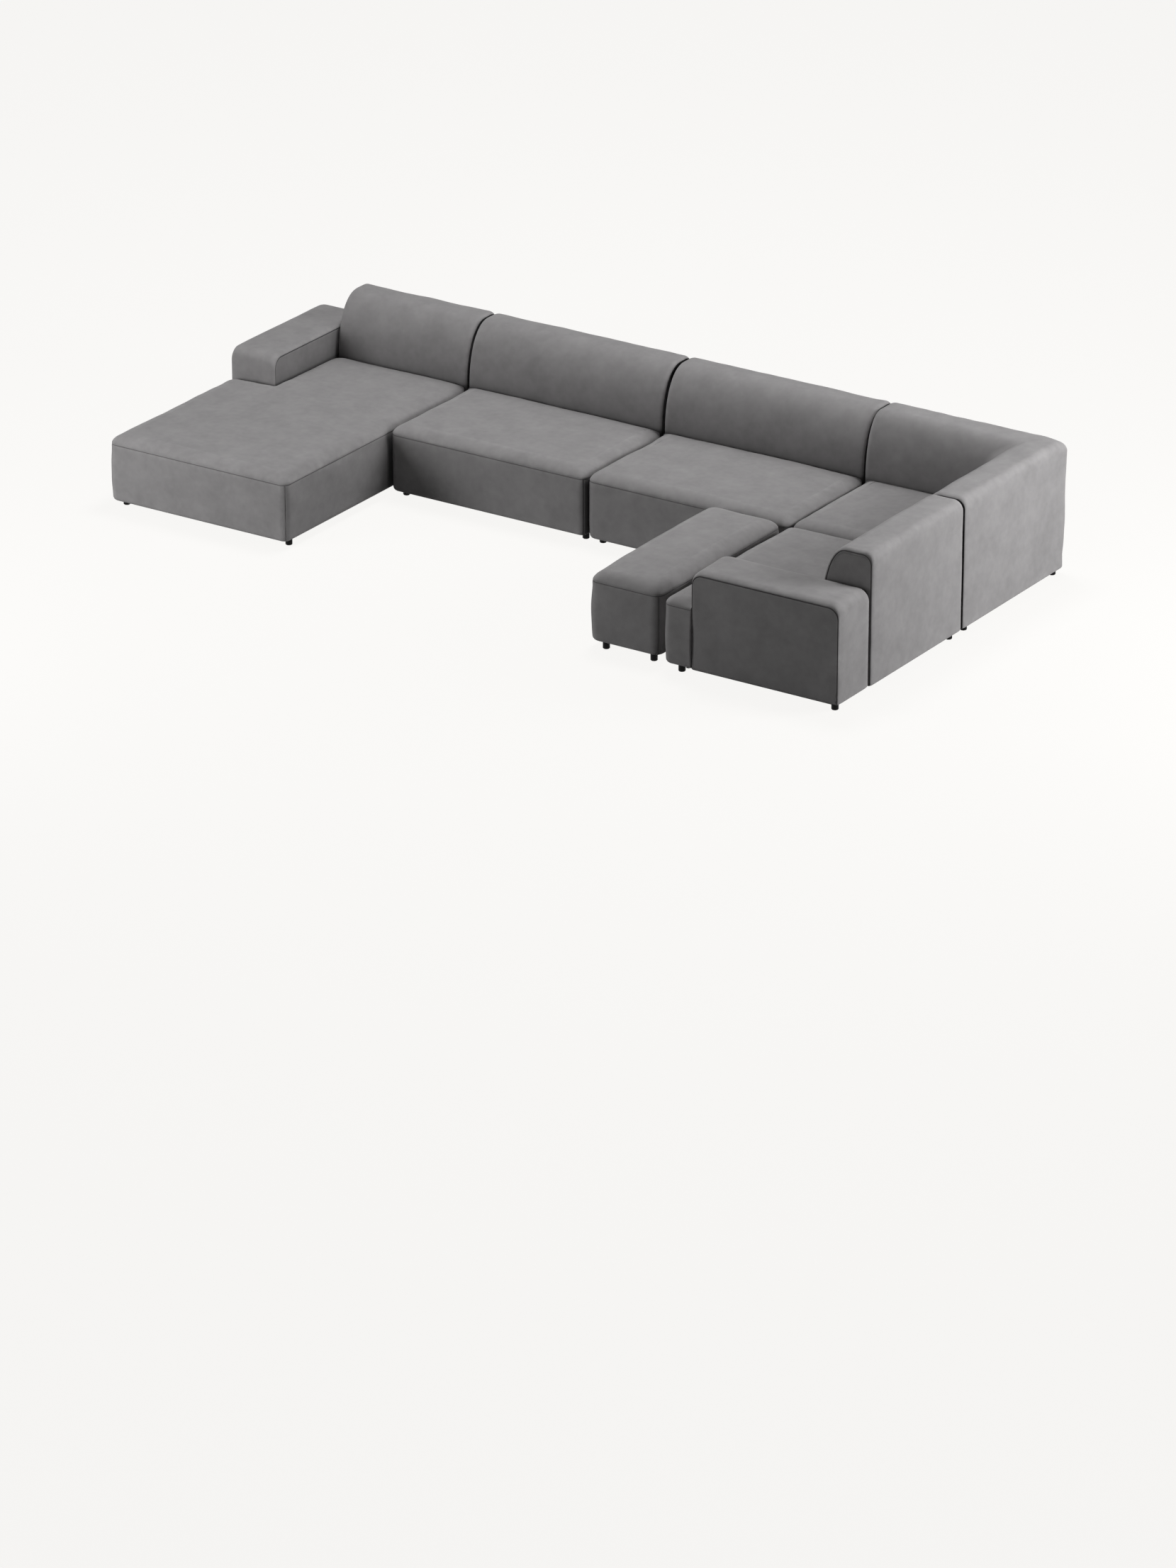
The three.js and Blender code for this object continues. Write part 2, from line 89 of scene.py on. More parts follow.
# The notch round an arm: the gap, the radius of its inner corner, and how far beside it the seat is pressed
notch_gap = 0.0006
notch_radius = 0.020
sink_reach = 0.075

# The ottoman: the radii of its corners, from the front left one to the front right one and round, the swell
# of its side, and how much higher its seam and its edge are than a seat's
ottoman_corner_radii = np.array([0.062, 0.062, 0.036, 0.050])
ottoman_bulge = 0.009
ottoman_lift = 0.004

# How dark the painted shade of a seat's seams is beside that of a back or an arm
seat_seam_shade = 0.6

# How far before seat_1's front the painted slit shade on the chaise's right side begins
slit_lead = 0.012

# The level at which a back or an arm comes out of the seat
seat_contact = 0.403

# A back: the round of its foot and of its rear top edge, and the height at which its front begins to curve
back_bottom_round = 0.010
back_rear_round = 0.052
back_knee = 0.393

# Forms of a back: how far its cover stands above its solid, how far from the rear plane its flat top ends,
# and the power of the curve from there down to the knee
plain_back = (0.002, 0.110, 2.2)
end_seat_back = (0.005, 0.155, 2.15)
corner_back = (0.003, 0.150, 2.15)

# Steps along the stretches of a back's outline, from its rear foot forward and round, and the steps at
# which its panel has corners within the front foot's round, the front's curve and the rear top's round
back_steps = (24, 4, 30, 46, 6, 14, 58, 4)
panel_corners = ((1, 2), (3, 31), (5, 7))

# The rounding of a sewn end as its length along the run and its depth, by what the end faces, and an arm's
end_roundings = {"slit": (0.032, 0.018), "air": (0.024, 0.019)}
arm_rounding = (0.045, 0.022)
arm_bottom_round = 0.012
arm_top_round = 0.060

# The corner's upright outer edge: its radius, its padding's swell, its top's drop, and their reach. Then
# the fillet of the corner's inner edge
corner_radius = 0.045
corner_bulge = 0.0085
corner_drop = 0.026
corner_reach = 0.17
inner_fillet = 0.080

# The yarns of the fabric, the height of its nap and of the grain of other finishes
yarn_spacing = 0.0016
nap_height = 0.0006
grain_height = 0.0008

# The camera's angles in degrees, its distance from its target, and its lens in millimetres
camera_angles = (33.335, 23.525)
camera_distance = 35.234
camera_target = (2.1652, -3.0935, 0.28483)
camera_lens = 168.84

# Each lamp's diameter, its place and the point that it is aimed at
lamps = {
    "top_lamp": (3.0, (-0.3, 1.9, 8.7), (-0.1, 0.0, 0.3)),
    "side_lamp": (2.5, (6.0, 1.5, 2.0), (2.2, 0.0, 0.3)),
    "front_lamp": (2.6, (-3.7, -4.6, 1.5), (-2.2, -0.5, 0.2)),
}

# Half the width of the floor, and the share and the brightness of its own even colour, seen directly
floor_reach = 60.0
floor_even_share = 0.93
floor_brightness = 1.033


# Settings

def length_setting(name, description, default, low=0.0):
    return FloatProperty(name=name, description=description, default=default, min=low, unit="LENGTH")


def power_setting(name, description, default):
    return FloatProperty(name=name, description=description, default=default, min=0.0, unit="POWER")


def colour_setting(name, description, default):
    return FloatVectorProperty(
        name=name, description=description, default=default, min=0.0, max=1.0, subtype="COLOR")


class SofaSizes(bpy.types.PropertyGroup):
    """Sizes of the sewn covers."""

    seam_depth: length_setting("Seam depth", "How deep a seam is drawn into the cover", 0.0032)
    seam_width: length_setting("Seam width", "Half the width of the groove of a seam", 0.0015, low=0.0001)
    seat_seam_height: length_setting("Seat seam height", "Height of the seam round a seat", 0.362)
    seat_edge_height: length_setting("Seat edge height", "Height of a seat where its rolled edge ends", 0.411)
    seat_roll: length_setting(
        "Seat roll", "How far the rolled edge of a seat reaches inwards", 0.076, low=0.001)
    seat_crown: length_setting("Seat crown", "How much the middle of a seat stands above its edge", 0.012)
    ottoman_crown: length_setting(
        "Ottoman crown", "How much the middle of the ottoman stands above its edge", 0.026)
    arm_sink: length_setting(
        "Sink at the arm", "How much a seat is pressed down where it meets an arm", 0.022)
    unevenness: length_setting("Unevenness", "Height of the gentle hollows and swells of the padding", 0.0012)


class SofaFinishes(bpy.types.PropertyGroup):
    """Colours of the finishes."""

    fabric: colour_setting("Fabric", "Colour of the short-napped woven cover", (0.292, 0.284, 0.286))
    timber: colour_setting("Timber", "Colour of the rails and posts of the frames", (0.56, 0.38, 0.21))
    webbing: colour_setting("Webbing", "Colour of the belts under the seats", (0.045, 0.043, 0.045))
    lining: colour_setting("Dust cover", "Colour of the cloth stapled under a module", (0.012, 0.012, 0.013))
    foot: colour_setting("Foot", "Colour of the moulded feet", (0.002, 0.002, 0.0023))
    steel: colour_setting("Steel", "Colour of the joining plates", (0.42, 0.43, 0.44))
    floor: colour_setting("Floor", "Colour of the studio floor and backdrop", (0.947, 0.938, 0.922))


class SofaStudio(bpy.types.PropertyGroup):
    """Strengths of the studio lights."""

    sky: FloatProperty(
        name="Sky", description="Strength of the even light from all round", default=0.015, min=0.0)
    bounce: FloatProperty(
        name="Floor bounce", description="Share of the light that the floor throws back on the sofa",
        default=0.26, min=0.0, max=1.0, subtype="FACTOR")
    top_lamp: power_setting("Top lamp", "Power of the large lamp overhead", 452.0)
    side_lamp: power_setting("Side lamp", "Power of the lamp at the right", 216.0)
    front_lamp: power_setting("Front lamp", "Power of the lamp at the front left", 146.0)


def sizes():
    return bpy.context.scene.sofa_sizes


def finishes():
    return bpy.context.scene.sofa_finishes


# Lines and loops

def ramp(value, start, length):
    """Zero up to start, one from start + length on, and straight between them."""
    return np.clip((value - start) / length, 0.0, 1.0)


def bell(distance, reach):
    """e^(-(d/reach)^2), for a distance d."""
    return np.exp(-(distance / reach) ** 2)


def unit_steps(count):
    """Shares from 0 to 1 in a number of even steps."""
    return np.linspace(0.0, 1.0, count + 1)


def running_length(points, axis):
    """Distance covered along a grid of points, from its first row or column."""
    steps = np.linalg.norm(np.diff(points, axis=axis), axis=-1)
    return np.concatenate([np.zeros_like(steps.take([0], axis=axis)), np.cumsum(steps, axis=axis)], axis=axis)


def closed_rows(grid):
    """Repeats the first column after the last, so that a ring meets itself."""
    return np.concatenate([grid, grid[:, :1]], axis=1)


def way_round(loop):
    """Distance round a closed loop to each of its points, and to its first point again."""
    return running_length(closed_rows(loop[None]), 1)[0]


def even_steps(points, count):
    """The points of a line at even distances along it."""
    length = running_length(points[None], 1)[0]
    at = np.linspace(0, length[-1], count + 1)
    return np.column_stack([np.interp(at, length, points[:, k]) for k in range(points.shape[1])])


def side_counts(corners, radii):
    """Steps for each straight side of a rounded polygon: its length over the cover's step, rounded."""
    lengths = np.linalg.norm(np.roll(corners, -1, axis=0) - corners, axis=1)
    lengths = lengths - radii - np.roll(radii, -1)
    return np.maximum(np.round(lengths / cover_step).astype(int), 2)


def outline(corners, radii, counts):
    """A loop round a polygon of right angles, anticlockwise, with an arc at each corner.

    A corner c between directions d and e has its arc's centre at c - r d + r e, and the arc is
    centre + r (d sin a - e cos a) for a from 0 to a quarter turn. From the arc's middle a grows or
    shrinks with the square of the steps, so they are finest there. A straight side follows each arc.
    Returns the points, their outward normals and, for each point, the side before it, the side after
    it and how far it has turned from the one to the other.
    """
    total = len(corners)
    points, normals, marks = [], [], []
    step = np.linspace(-1, 1, 2 * corner_steps + 1)[:, None]
    angle = (1 + step * np.abs(step)) * math.pi / 4
    for k in range(total):
        following = (k + 1) % total
        arriving, leaving = corners[k] - corners[k - 1], corners[following] - corners[k]
        d, e, r = arriving / np.linalg.norm(arriving), leaving / np.linalg.norm(leaving), radii[k]
        centre = corners[k] - r * d + r * e
        n0, n1 = np.array([d[1], -d[0]]), np.array([e[1], -e[0]])
        points.append(centre + r * (d * np.sin(angle) - e * np.cos(angle)))
        normals.append(n0 * np.cos(angle) + n1 * np.sin(angle))
        turned = np.sin(angle) ** 2
        marks.append(np.hstack([np.full_like(angle, (k - 1) % total), np.full_like(angle, k), turned]))
        start = corners[k] + r * e
        end = corners[following] - radii[following] * e
        share = unit_steps(counts[k])[1:-1, None]
        points.append(start + (end - start) * share)
        normals.append(np.broadcast_to(n1, (len(share), 2)))
        marks.append(np.broadcast_to([k, k, 1.0], (len(share), 3)))
    return np.vstack(points), np.vstack(normals), np.vstack(marks)


def corner_places(counts):
    """The places in a loop of the middle of each corner's arc."""
    lengths = 2 * corner_steps + np.asarray(counts)
    return np.concatenate([[0], np.cumsum(lengths)[:-1]]) + corner_steps


def side_of(loop, start, end):
    """The points of a closed loop from one place round to another."""
    total = len(loop)
    return loop[np.arange(start, end + 1 if end > start else end + total + 1) % total]


def loop_normals(loop):
    """Outward normals of a closed loop that runs anticlockwise, from the chord of each point's neighbours."""
    chord = np.roll(loop, -1, axis=0) - np.roll(loop, 1, axis=0)
    normal = np.column_stack([chord[:, 1], -chord[:, 0]])
    return normal / np.linalg.norm(normal, axis=1, keepdims=True)


def shared_way(one, other):
    """How far along two lines together each pair of their points is, from 0 to 1."""
    steps = np.linalg.norm(np.diff(one, axis=0), axis=1) + np.linalg.norm(np.diff(other, axis=0), axis=1)
    way = np.concatenate([[0.0], np.cumsum(steps)])
    return way / way[-1]


def patch_between(low, high, left, right):
    """A grid that fills four sides: the two straight blends across it, less the blend of its corners."""
    u = shared_way(low, high)[None, :, None]
    v = shared_way(left, right)[:, None, None]
    across = (1 - v) * low[None] + v * high[None]
    along = (1 - u) * left[:, None] + u * right[:, None]
    ends = (1 - u) * ((1 - v) * low[0] + v * high[0]) + u * ((1 - v) * low[-1] + v * high[-1])
    return across + along - ends


# Meshes

def grid_faces(rows, cols):
    """The quads between the rows and columns of a grid of points."""
    first = np.arange(rows - 1)[:, None] * cols + np.arange(cols - 1)[None, :]
    return np.stack([first, first + 1, first + cols + 1, first + cols], axis=-1).reshape(-1, 4)


class Patch:
    """A grid of points with its cloth coordinates, its share of seam (painted shade at seams, slits and
    creases) and of free, loose cloth.

    In a ring the first column is repeated after the last one, but not in a cloth that has it already.
    """

    def __init__(self, points, cloth, seam=0.0, loose=1.0, ring=False):
        shape = points.shape[:2]
        grids = [points, cloth, np.broadcast_to(seam, shape), np.broadcast_to(loose, shape)]
        if ring:
            grids = [closed_rows(grid) if grid.shape[1] == shape[1] else grid for grid in grids]
        self.points, self.cloth, self.seam, self.loose = grids


def plane_waves(points, length, seed):
    """Smooth noise of unit size: the sum of 28 sine waves of random directions and phases near a length."""
    draw = np.random.default_rng(seed)
    waves = draw.normal(size=(3, 28))
    waves *= 2 * math.pi / (length * draw.uniform(0.75, 1.5, 28) * np.linalg.norm(waves, axis=0))
    return np.sin(points @ waves + draw.uniform(0, 2 * math.pi, 28)).sum(axis=1) / math.sqrt(14)


def add_object(name, data):
    """A new object in the scene."""
    made = bpy.data.objects.new(name, data)
    bpy.context.scene.collection.objects.link(made)
    return made


def read_field(items, key, width=1, kind=float):
    """One field of all of a mesh's items as an array, with a row for each item."""
    values = np.zeros(width * len(items), kind)
    items.foreach_get(key, values)
    return values.reshape(-1, width)


def rolled_edges(mesh, place, normal):
    """How rolled the skin is at each vertex, from 0 on the flat to 1 where its radius is 50 mm or less.

    Along an edge p to q with normals n and m the bend is (m - n).(q - p) / |q - p|^2. Each vertex takes
    the mean bend of its edges, evened out eight times with its neighbours' means.
    """
    ends = read_field(mesh.edges, "vertices", 2, int)
    one, other = ends.T
    step = place[other] - place[one]
    bend = ((normal[other] - normal[one]) * step).sum(axis=1) / np.maximum((step ** 2).sum(axis=1), 1e-9)
    total = len(place)
    count = np.bincount(ends.ravel(), minlength=total)
    bend = (np.bincount(one, bend, total) + np.bincount(other, bend, total)) / count
    for _ in range(8):
        bend = (np.bincount(one, bend[other], total) + np.bincount(other, bend[one], total)) / count
    return np.clip(bend / 20.0, 0.0, 1.0)


def mesh_of(name, patches):
    """One mesh of the quads of all patches, with their cloth coordinates, seam (painted shade) and loose
    values.
    """
    starts = np.cumsum([0] + [p.seam.size for p in patches])
    points = np.concatenate([p.points.reshape(-1, 3) for p in patches])
    cloth = np.concatenate([p.cloth.reshape(-1, 2) for p in patches])
    faces = np.concatenate([grid_faces(*p.seam.shape) + start for p, start in zip(patches, starts)])
    mesh = bpy.data.meshes.new(name)
    mesh.vertices.add(len(points))
    mesh.vertices.foreach_set("co", points.astype(np.float32).ravel())
    mesh.loops.add(faces.size)
    mesh.loops.foreach_set("vertex_index", faces.ravel().astype(np.int32))
    mesh.polygons.add(len(faces))
    mesh.polygons.foreach_set("loop_start", np.arange(0, faces.size, 4, dtype=np.int32))
    mesh.update(calc_edges=True)
    mesh.uv_layers.new(name="cloth").data.foreach_set("uv", cloth[faces.ravel()].astype(np.float32).ravel())
    # The seam attribute holds the painted shade that the fabric reads
    for label in ("seam", "loose"):
        values = np.concatenate([getattr(p, label).ravel() for p in patches])
        mesh.attributes.new(label, "FLOAT", "POINT").data.foreach_set("value", values.astype(np.float32))
    return mesh


def weld(mesh):
    """Joins the patches where they meet, closes flat holes and turns every face outwards."""
    bm = bmesh.new()
    bm.from_mesh(mesh)
    bmesh.ops.remove_doubles(bm, verts=bm.verts, dist=2e-5)
    bmesh.ops.dissolve_degenerate(bm, edges=bm.edges, dist=1e-6)
    open_edges = [edge for edge in bm.edges if edge.is_boundary]
    if open_edges:
        bmesh.ops.holes_fill(bm, edges=open_edges)
    bmesh.ops.recalc_face_normals(bm, faces=bm.faces)
    bm.to_mesh(mesh)
    bm.free()


def sew_cover(name, patches, seed, node, body):
    """A closed sewn cover from patches that meet edge to edge, on a body in the stead of its CAD solid.

    Its skin is moved along its normals by unevenness x loose x (waves of 0.34 m + 0.35 waves of 0.11 m),
    and its rolled edges are marked as worn.
    """
    mesh = mesh_of(name, patches)
    weld(mesh)
    place, normal = read_field(mesh.vertices, "co", 3), read_field(mesh.vertices, "normal", 3)
    loose = read_field(mesh.attributes["loose"].data, "value")[:, 0]
    worn = mesh.attributes.new("wear", "FLOAT", "POINT")
    worn.data.foreach_set("value", rolled_edges(mesh, place, normal).astype(np.float32))
    swell = plane_waves(place, 0.34, seed) + 0.35 * plane_waves(place, 0.11, seed + 50)
    place += normal * (swell * loose * sizes().unevenness)[:, None]
    mesh.vertices.foreach_set("co", place.astype(np.float32).ravel())
    mesh.shade_smooth()
    mesh.materials.append(fabric_material())
    mesh.update()
    cover = add_object(name, mesh)
    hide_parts(node)
    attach(cover, body)


# Seams and painted shades

def seam_groove(distance):
    """Depth of a seam at a distance from it: a narrow bell, less a low swell of the padding beside it."""
    swell = swell_height * bell(distance - swell_place, swell_reach)
    return sizes().seam_depth * bell(distance, sizes().seam_width) - swell


def painted_seam_shade(distance, reach=1.3):
    """Painted shade of a seam's groove at a distance from it: a bell of reach seam widths."""
    return bell(distance, reach * sizes().seam_width)


def looseness(distance, height):
    """How free cloth is to swell: it grows over 30 mm from a seam and from 60 to 110 mm above the floor."""
    return ramp(distance, 0.0, 0.03)[:, None] * ramp(height, 0.06, 0.05)


def painted_contact_shade(height, wide=0.38):
    """Painted contact shade at a height on a back or an arm, darkest where the seat meets it.

    It is wide e^(-h/0.2) + 0.3 e^(-h/0.04) + 0.28 e^(-(h/0.009)^2), for a height h above the seat.
    """
    h = np.maximum(height - seat_contact, 0.0)
    return wide * np.exp(-h / 0.2) + 0.3 * np.exp(-h / 0.04) + 0.28 * bell(h, 0.009)


# Modules' own axes

def to_sofa(points, turned):
    """A turned module's own x and y are the sofa's -Y and X, so that its front faces -X."""
    if not turned:
        return points
    return np.stack([points[..., 1], -points[..., 0], points[..., 2]], axis=-1)


def module_box(node, turned=False):
    """Low and high corners of a CAD node in its module's own axes."""
    low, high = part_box(node)
    if not turned:
        return np.array(low), np.array(high)
    return np.array([-high[1], low[0], low[2]]), np.array([-low[1], high[0], high[2]])


def placer(rear, turned=False):
    """A function that turns (along, distance before the rear, height) into the sofa's x, y and z."""
    def place(grid):
        return to_sofa(np.stack([grid[..., 0], rear - grid[..., 1], grid[..., 2]], axis=-1), turned)

    return place


# Seats

# The sides of a seat's plan and their outward normals. A notch for an arm adds inner and shelf
side_normals = {
    "front": (0, -1), "right": (1, 0), "rear": (0, 1), "left": (-1, 0), "inner": (-1, 0), "shelf": (0, 1),
}


class SeatShape:
    """Heights of the top of a seat over its plan.

    lift raises its seam and its edge, the tucks say how far its form goes on behind its rear and its
    right side, notch is the inner corner of the cut for an arm, and bulge is the swell of its side.
    """

    def __init__(self, plan, crown, lift=0.0, rear_tuck=0.0, right_tuck=0.0, notch=None, bulge=0.004):
        s = sizes()
        self.x0, self.x1, self.y0, self.y1 = plan
        self.seam = s.seat_seam_height + lift
        self.edge = s.seat_edge_height + lift
        self.roll = s.seat_roll
        self.crown, self.rear_tuck, self.right_tuck = crown, rear_tuck, right_tuck
        self.notch, self.bulge = notch, bulge

    def tuck(self, distance):
        """The fall of a rolled edge by a quarter ellipse, at a distance inside its hidden outline."""
        inside = ramp(distance, 0.003, self.roll)
        return (self.edge - self.seam) * (1.0 - np.sqrt(1.0 - (1.0 - inside) ** 2))

    def level(self, plan):
        """Height before the roll at the free edges, at places in the plan.

        It is the edge height, plus crown (1 - |2s - 1|^3) (1 - |2t - 1|^4) for the shares s and t across
        and along, less the roll at a tucked side and arm_sink w^2, where w falls from 1 at an arm to 0.
        """
        x, y = plan[..., 0], plan[..., 1]
        far_x, far_y = self.x1 + self.right_tuck, self.y1 + self.rear_tuck
        across = ramp(x, self.x0, far_x - self.x0)
        along = ramp(y, self.y0, far_y - self.y0)
        height = self.edge + self.crown * (1 - np.abs(2 * across - 1) ** 3) * (1 - np.abs(2 * along - 1) ** 4)
        if self.rear_tuck:
            height = height - self.tuck(far_y - y)
        if self.right_tuck:
            height = height - self.tuck(far_x - x)
        if self.notch:
            beside = np.hypot(np.maximum(x - self.notch[0], 0.0), np.maximum(self.notch[1] - y, 0.0))
            height = height - sizes().arm_sink * (1.0 - ramp(beside, 0.0, sink_reach)) ** 2
        return height

    def shade(self, plan):
        """Painted shade on the top beside the back, in the crease: 0.6 e^(-d/0.045), for a distance d from
        it.
        """
        if not self.rear_tuck:
            return np.zeros(plan.shape[:-1])
        apart = self.y1 - plan[..., 1]
        if self.right_tuck:
            apart = np.minimum(apart, self.x1 - plan[..., 0])
        return 0.6 * np.exp(-np.maximum(apart, 0.0) / 0.045)


class SeatPlan:
    """The outer and the inner loop of a seat's rolled edge, and for each of their points how free it is.

    A hidden side meets an arm or a back, so it has a small turn and no seam, and its band is painted dark as
    shade.
    slits names the sides that face the next module, each with the y behind which they do, and their bands are
    painted dark as shade of the slit.
    """

    def __init__(self, shape, radius, hidden, slits):
        corners = [[shape.x0, shape.y0], [shape.x1, shape.y0], [shape.x1, shape.y1], [shape.x0, shape.y1]]
        sides = ["front", "right", "rear", "left"]
        if shape.notch:
            x, y = shape.notch
            corners[3:] = [[x, shape.y1], [x, y], [shape.x0, y]]
            sides[3:] = ["inner", "shelf", "left"]
        corners = np.array(corners)
        out = np.array([side_normals[side] for side in sides], float)
        closed = np.array([side in (*hidden, "inner", "shelf") for side in sides])
        closed_before = np.roll(closed, 1)
        free_corner = ~(closed | closed_before)

        def drawn(free_draw, hidden_draw):
            """The corners, each drawn in by its two sides' amounts."""
            inwards = out * np.where(closed, hidden_draw, free_draw)[:, None]
            return corners - inwards - np.roll(inwards, 1, axis=0)

        hidden_radii = np.where(closed & closed_before, both_hidden_radius, one_hidden_radius)
        outer_radii = np.where(free_corner, radius - shape.bulge, hidden_radii)
        inner_radii = np.where(free_corner, radius / 3, hidden_inner_radius)
        if shape.notch:
            outer_radii[4] = inner_radii[4] = notch_radius
        outer_corners = drawn(shape.bulge, hidden_gap)
        inner_corners = drawn(shape.bulge + shape.roll, hidden_gap + hidden_turn)
        counts = side_counts(outer_corners, outer_radii)
        if shape.notch:
            counts[:2] = counts[2:4] + counts[4:] + 2 * corner_steps
        else:
            counts[2:] = counts[:2]
        self.places = corner_places(counts)
        self.outer, self.normal, marks = outline(outer_corners, outer_radii, counts)
        self.inner = outline(inner_corners, inner_radii, counts)[0]

        def by_side(values):
            """Each loop point's share of its two sides' values."""
            before, after = marks[:, :2].astype(int).T
            return values[before] * (1 - marks[:, 2]) + values[after] * marks[:, 2]

        self.free = by_side((~closed).astype(float))
        self.hidden = np.clip(1 - 2 * self.free, 0, 1)
        # Share of each point's band that is painted dark as shade of the slit
        self.facing = np.zeros(len(self.outer))
        for name, behind in slits.items():
            side = by_side(np.array([other == name for other in sides], float))
            self.facing = np.maximum(self.facing, side * ramp(self.outer[:, 1], behind, 0.02))

        # Distance from the nearest free corner's middle, where an upright seam runs
        self.way = way_round(self.outer)
        self.from_corner = np.full(len(self.outer), 1.0)
        for place in self.places[free_corner]:
            apart = np.abs(self.way[:-1] - self.way[place])
            self.from_corner = np.minimum(self.from_corner, np.minimum(apart, self.way[-1] - apart))

    def side(self, k):
        """The inner loop from the middle of a corner's arc to the middle of the next one's."""
        return side_of(self.inner, self.places[k], self.places[(k + 1) % len(self.places)])


def seat_tops(shape, plan):
    """The top within the inner loop, at the shape's level: one grid, or two where an arm's notch is."""
    def top(low, high, left, right):
        flat = patch_between(low, high, left, right)
        return Patch(np.dstack([flat, shape.level(flat)]), flat, shape.shade(flat))

    front, right, rear = plan.side(0), plan.side(1), plan.side(2)[::-1]
    if not shape.notch:
        return [top(front, rear, plan.side(3)[::-1], right)]
    inner, shelf, left = plan.side(3)[::-1], plan.side(4)[::-1], plan.side(5)[::-1]
    split = len(left) - 1
    bridge_steps = len(front) - len(shelf)
    bridge = shelf[-1] + (right[split] - shelf[-1]) * unit_steps(bridge_steps)[:, None]
    return [top(front, np.vstack([shelf, bridge[1:]]), left, right[:split + 1]),
            top(bridge, rear, inner, right[split:])]


def seat_roll(shape, plan):
    """The rolled edge: from the inner loop B to the outer loop A it is B + (A - B) sin a.

    It comes down by drop (1 - cos a), and is drawn in by the seam's groove near its lower end.
    """
    height_step = shape.edge - shape.seam
    angles = np.concatenate([
        np.linspace(0, math.acos(seam_steps[-1] / height_step), 10)[:-1],
        np.arccos(seam_steps[::-1] / height_step), [math.pi / 2]])[:, None]
    flat = plan.inner + (plan.outer - plan.inner) * np.sin(angles)[..., None]
    drop = plan.free * (shape.level(plan.outer) - shape.seam) + (1 - plan.free) * hidden_turn
    height = shape.level(flat) - drop * (1 - np.cos(angles))
    above = drop * np.cos(angles)
    flat = flat - plan.normal * (plan.free * seam_groove(above))[..., None]
    points = np.dstack([flat, height])
    cloth = plan.inner + plan.normal * running_length(points, 0)[..., None]
    # Painted shade in the crease at a hidden side and beside the back
    painted_crease_shade = np.maximum(plan.hidden * np.sin(angles) ** 2, shape.shade(flat))
    seam = np.maximum(seat_seam_shade * plan.free * painted_seam_shade(above), painted_crease_shade)
    return Patch(points, cloth, seam, ramp(above, 0.0, 0.02) * plan.free, ring=True)


def seat_band(shape, plan, seam_height):
    """The side below the seam, then a quarter turn inwards and the hem.

    The side swells out from the outer loop by bulge (1 - t^2), for a share t of the way up from its
    middle, and by bulge (1 - 0.8 t^2) for the way down. It has the level seam at its top, and an upright
    seam at each free corner, which grows over the first 4 mm.
    """
    low = bottom_height + seat_bottom_round
    fine = seam_height - np.concatenate([[0.0], seam_steps])[:, None]
    level = np.vstack([fine, fine[-1] + (low - fine[-1]) * unit_steps(20)[1:, None]])
    rise = (level - (shape.seam + low) / 2) / ((shape.seam - low) / 2)
    drawn_in = np.where(rise > 0, shape.bulge, 0.8 * shape.bulge) * np.minimum(rise ** 2, 1.0) - shape.bulge
    upright = seam_groove(plan.from_corner) * ramp(seam_height - level, 0.0, 0.004)
    inset = plan.free * (drawn_in + np.maximum(seam_groove(seam_height - level), upright))
    turn = unit_steps(7)[1:, None] * math.pi / 2
    level = np.vstack([level, low - seat_bottom_round * np.sin(turn) + 0 * seam_height])
    inset = np.vstack([inset, inset[-1] + seat_bottom_round * (1 - np.cos(turn))])
    level, inset = np.vstack([level, level[-1:]]), np.vstack([inset, inset[-1:] + hem_width])

    points = np.dstack([plan.outer - plan.normal * inset[..., None], level])
    down, below = running_length(points, 0), seam_height - level
    loose = ramp(below, 0.0, 0.03) * ramp(level, low, 0.05) * plan.free
    # Painted shade of the seams' grooves, of the hidden sides and of the sides that face a slit
    seam = plan.free * np.maximum(seat_seam_shade * painted_seam_shade(below), 0.5 * painted_seam_shade(plan.from_corner))
    seam = np.maximum(seam, np.maximum(plan.hidden, plan.facing * ramp(down, 0.0, 0.03)))
    cloth = np.dstack([np.broadcast_to(plan.way, (len(level), len(plan.way))), closed_rows(-down)])
    return Patch(points, cloth, seam, loose, ring=True)


def seat_patches(shape, radius, hidden=(), slits=None):
    """The skin of a seat: its top, the rolled edge down to the seam, the side band and the hem below."""
    plan = SeatPlan(shape, radius, hidden, slits or {})
    roll = seat_roll(shape, plan)
    return [*seat_tops(shape, plan), roll, seat_band(shape, plan, roll.points[-1, :-1, 2])]


# Backs and arms

